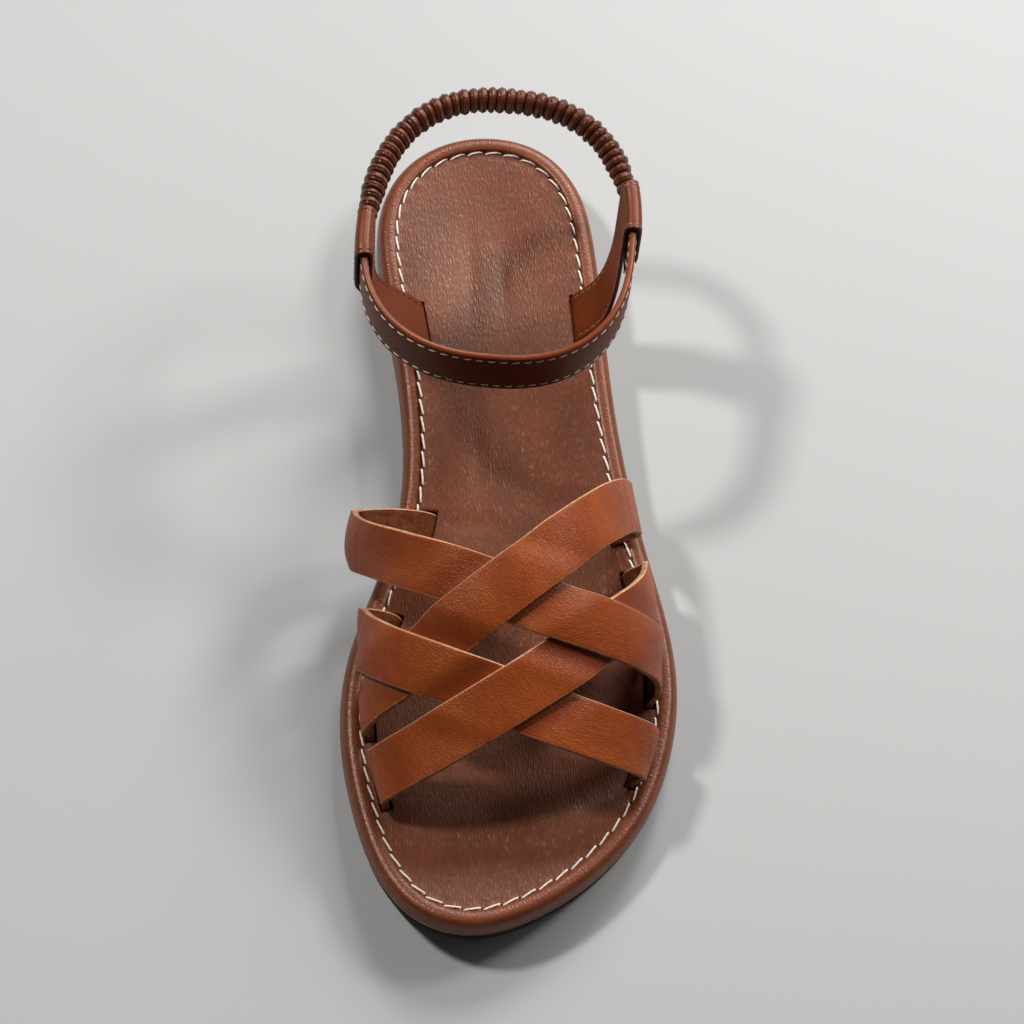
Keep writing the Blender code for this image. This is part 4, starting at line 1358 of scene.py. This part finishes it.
def leather(name):
    """Grain leather: pebbled cells, fine wrinkles one way, cloudy colour, dark creases that are partly own
    tone and partly painted shade, painted shade from the mesh, and a satin finish.
    """
    look = LEATHERS[name]
    paint = Paint(name)
    place = paint.value("place", "Vector")
    sway = paint.noise(paint.scaled(place, SWAY_SIZE), output="Color")
    swayed = paint.moved(place, sway, SWAY_REACH)
    cells = paint.spread(paint.cells(paint.scaled(swayed, grain_sizes(look["cell"]))), 0.0, CELL_EDGE)
    waves = paint.noise(paint.scaled(swayed, grain_sizes(look["wrinkle"])), WRINKLE_DETAIL)
    apart = paint.maths("ABSOLUTE", paint.maths("SUBTRACT", waves, WRINKLE_MIDDLE))
    wrinkles = paint.spread(apart, 0.0, WRINKLE_HALF)
    fine = paint.noise(paint.scaled(place, FINE_SIZE))
    height = paint.maths("MULTIPLY", cells, GRAIN_WEIGHTS["cells"])
    height = paint.maths("MULTIPLY_ADD", wrinkles, GRAIN_WEIGHTS["wrinkles"], height)
    height = paint.maths("MULTIPLY_ADD", fine, GRAIN_WEIGHTS["fine"], height)

    cloud = paint.spread(paint.noise(paint.scaled(place, CLOUD_SIZE), CLOUD_DETAIL), *CLOUD_RANGE)
    colour = paint.mix(cloud, look["dark"], look["light"])
    # Creases of the grain are darkened: partly the leather's own darker tone there, partly painted shade
    low = paint.spread(height, *CREASE_RANGE, CREASE_TONE_AND_PAINTED_SHADE, 0.0)
    colour = paint.mix(low, colour, look["crease"])
    # Painted shade from the mesh mixes the colour towards the crease colour
    shade = paint.maths("MULTIPLY", paint.value("shade", "Fac"), PAINTED_SHADE_STRENGTH)
    colour = paint.mix(shade, colour, look["crease"])
    crown_rough, crease_rough = look["rough"]
    return paint.finish(
        Base_Color=colour,
        Roughness=paint.spread(height, *ROUGH_RANGE, crease_rough, crown_rough),
        Normal=paint.bump(height, look["depth"]),
        Specular_IOR_Level=look["specular"],
        Specular_Tint=SHINE_TINT,
        Coat_Weight=look["coat"],
        Coat_Roughness=COAT_ROUGH,
    )


def speckled(name):
    """A fibrous or napped surface: fine specks of two colours with a rough feel."""
    look = FIBRES[name]
    sizes = grain_sizes(look["speck"])
    paint = Paint(name)
    place = paint.value("place", "Vector")
    specks = paint.noise(paint.scaled(place, sizes), SPECK_DETAIL)
    patches = paint.noise(paint.scaled(place, tuple(PATCH_SPECKS * size for size in sizes)))
    both = paint.maths("MULTIPLY", specks, 1 - PATCH_SHARE)
    both = paint.maths("MULTIPLY_ADD", patches, PATCH_SHARE, both)
    return paint.finish(
        Base_Color=paint.mix(paint.spread(both, *SPECK_RANGE), look["dark"], look["light"]),
        Roughness=look["rough"],
        Normal=paint.bump(specks, look["depth"]),
        Specular_IOR_Level=FIBRE_SPECULAR,
        Sheen_Weight=look["sheen"],
    )


# Floor, light and camera

FLOOR_HALF = 3000.0
FLOOR_CORNERS = ((-1, -1), (1, -1), (1, 1), (-1, 1))
FLOOR_COLOURS = ((0.44, 0.44, 0.43), (0.48, 0.48, 0.47))
FLOOR_PATCH = (300.0, 300.0, 1.0)
FLOOR_ROUGH = 0.6
WORLD_COLOUR = (1.0, 0.98, 0.95, 1.0)
WORLD_STRENGTH = 0.03
LIGHT_UP = (0.0, 1.0, 0.01)
LIGHTS = named_rows("place aim wide long watts", {
    "key": ((-620, 290, 1080), (0, 10, 20), 130, 130, 8.3),
    "back_box": ((260, 880, 800), (0, 60, 20), 340, 420, 9.2),
    "corner_box": ((650, 700, 600), (0, 40, 20), 300, 300, 2.4),
    "right_box": ((700, 350, 750), (0, 0, 30), 220, 220, 4.4),
    "side_box": ((750, 0, 650), (0, 0, 30), 300, 300, 0.3),
    "front_box": ((150, -800, 700), (0, 0, 30), 300, 300, 0.2),
})

# The camera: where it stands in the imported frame, how far it looks down, and the photograph's size and focal
# length in pixels; it turns to the sandal's middle pixel and moves a little closer in
CAMERA_PLACE = np.array([-54.7, -440.5, 934.7])
CAMERA_DOWN = math.radians(64.0)
PHOTO_SIZE = 1024
PHOTO_FOCAL = 3210.0
SANDAL_PIXEL = (690.0, 530.0)
FRAMING = 1.12
SENSOR = 36.0


def make_floor():
    paint = Paint("floor")
    geometry = paint.node("NewGeometry", {}).outputs["Position"]
    patches = paint.noise(paint.scaled(geometry, tuple(size * MM for size in FLOOR_PATCH)))
    material = paint.finish(Base_Color=paint.mix(patches, *FLOOR_COLOURS), Roughness=FLOOR_ROUGH)
    mesh = bpy.data.meshes.new("floor")
    half = FLOOR_HALF * MM
    mesh.from_pydata([(x * half, y * half, 0) for x, y in FLOOR_CORNERS], [], [range(len(FLOOR_CORNERS))])
    mesh.materials.append(material)
    floor = add_object("floor", mesh)


def look_matrix(place, forward, up):
    """The matrix of a camera or light at a place, looking forward with this direction up."""
    right = unit(np.cross(forward, up))
    top = np.cross(right, forward)
    axes = np.column_stack([right, top, -np.asarray(forward), np.asarray(place) * MM])
    return Matrix([*axes.tolist(), [0.0, 0.0, 0.0, 1.0]])


def make_lights():
    for name, light in LIGHTS.items():
        lamp = bpy.data.lights.new(name, "AREA")
        lamp.shape = "RECTANGLE"
        lamp.size = light["wide"] * MM
        lamp.size_y = light["long"] * MM
        lamp.energy = light["watts"]
        forward = unit(np.subtract(light["aim"], light["place"]).astype(float))
        add_object(name, lamp).matrix_world = look_matrix(light["place"], forward, LIGHT_UP)


def make_world():
    world = bpy.data.worlds.new("studio")
    world.use_nodes = True
    background = world.node_tree.nodes["Background"]
    background.inputs["Color"].default_value = WORLD_COLOUR
    background.inputs["Strength"].default_value = WORLD_STRENGTH
    bpy.context.scene.world = world
    bpy.context.scene.view_settings.view_transform = "Standard"


def make_camera():
    ahead = np.array([0.0, math.cos(CAMERA_DOWN), -math.sin(CAMERA_DOWN)])
    up = np.array([0.0, math.sin(CAMERA_DOWN), math.cos(CAMERA_DOWN)])
    right = np.array([1.0, 0.0, 0.0])
    middle = PHOTO_SIZE / 2
    column, row = SANDAL_PIXEL
    forward = unit(ahead + right * (column - middle) / PHOTO_FOCAL + up * (middle - row) / PHOTO_FOCAL)
    camera = bpy.data.cameras.new("camera")
    camera.sensor_width = SENSOR
    camera.lens = PHOTO_FOCAL * FRAMING * SENSOR / PHOTO_SIZE
    holder = add_object("camera", camera)
    holder.matrix_world = look_matrix(CAMERA_PLACE, forward, up)
    bpy.context.scene.camera = holder


def main():
    looks = {name: leather(name) for name in LEATHERS}
    looks.update({name: speckled(name) for name in FIBRES})
    make_outsole(looks["rubber"])
    make_midsole(looks["rim_grain"])
    make_insole([looks["footbed_grain"], looks["hole"]])
    # The straps' back edges take the lighter copy of the cut edge: a painted highlight
    make_straps([looks["strap_grain"], looks["cut_edge"], looks["suede"], looks["painted_highlight_edge"]])
    make_instep_band([looks["band_grain"], looks["quarter_grain"], looks["band_grain"]])
    for number, name in enumerate(QUARTERS):
        sides = [looks["quarter_grain"], looks["painted_edge"], looks["quarter_grain"]]
        make_quarter(name, sides, QUARTER_SEED + number)
        make_quarter_stitches(name, looks[QUARTERS[name]["thread"]])
    make_heel_strap(looks["gathered_grain"])
    make_footbed_stitches(looks["cream_thread"])
    make_needle_holes(looks["hole"])
    make_band_stitches(looks["cream_thread"])
    make_floor()
    make_lights()
    make_world()
    make_camera()


main()
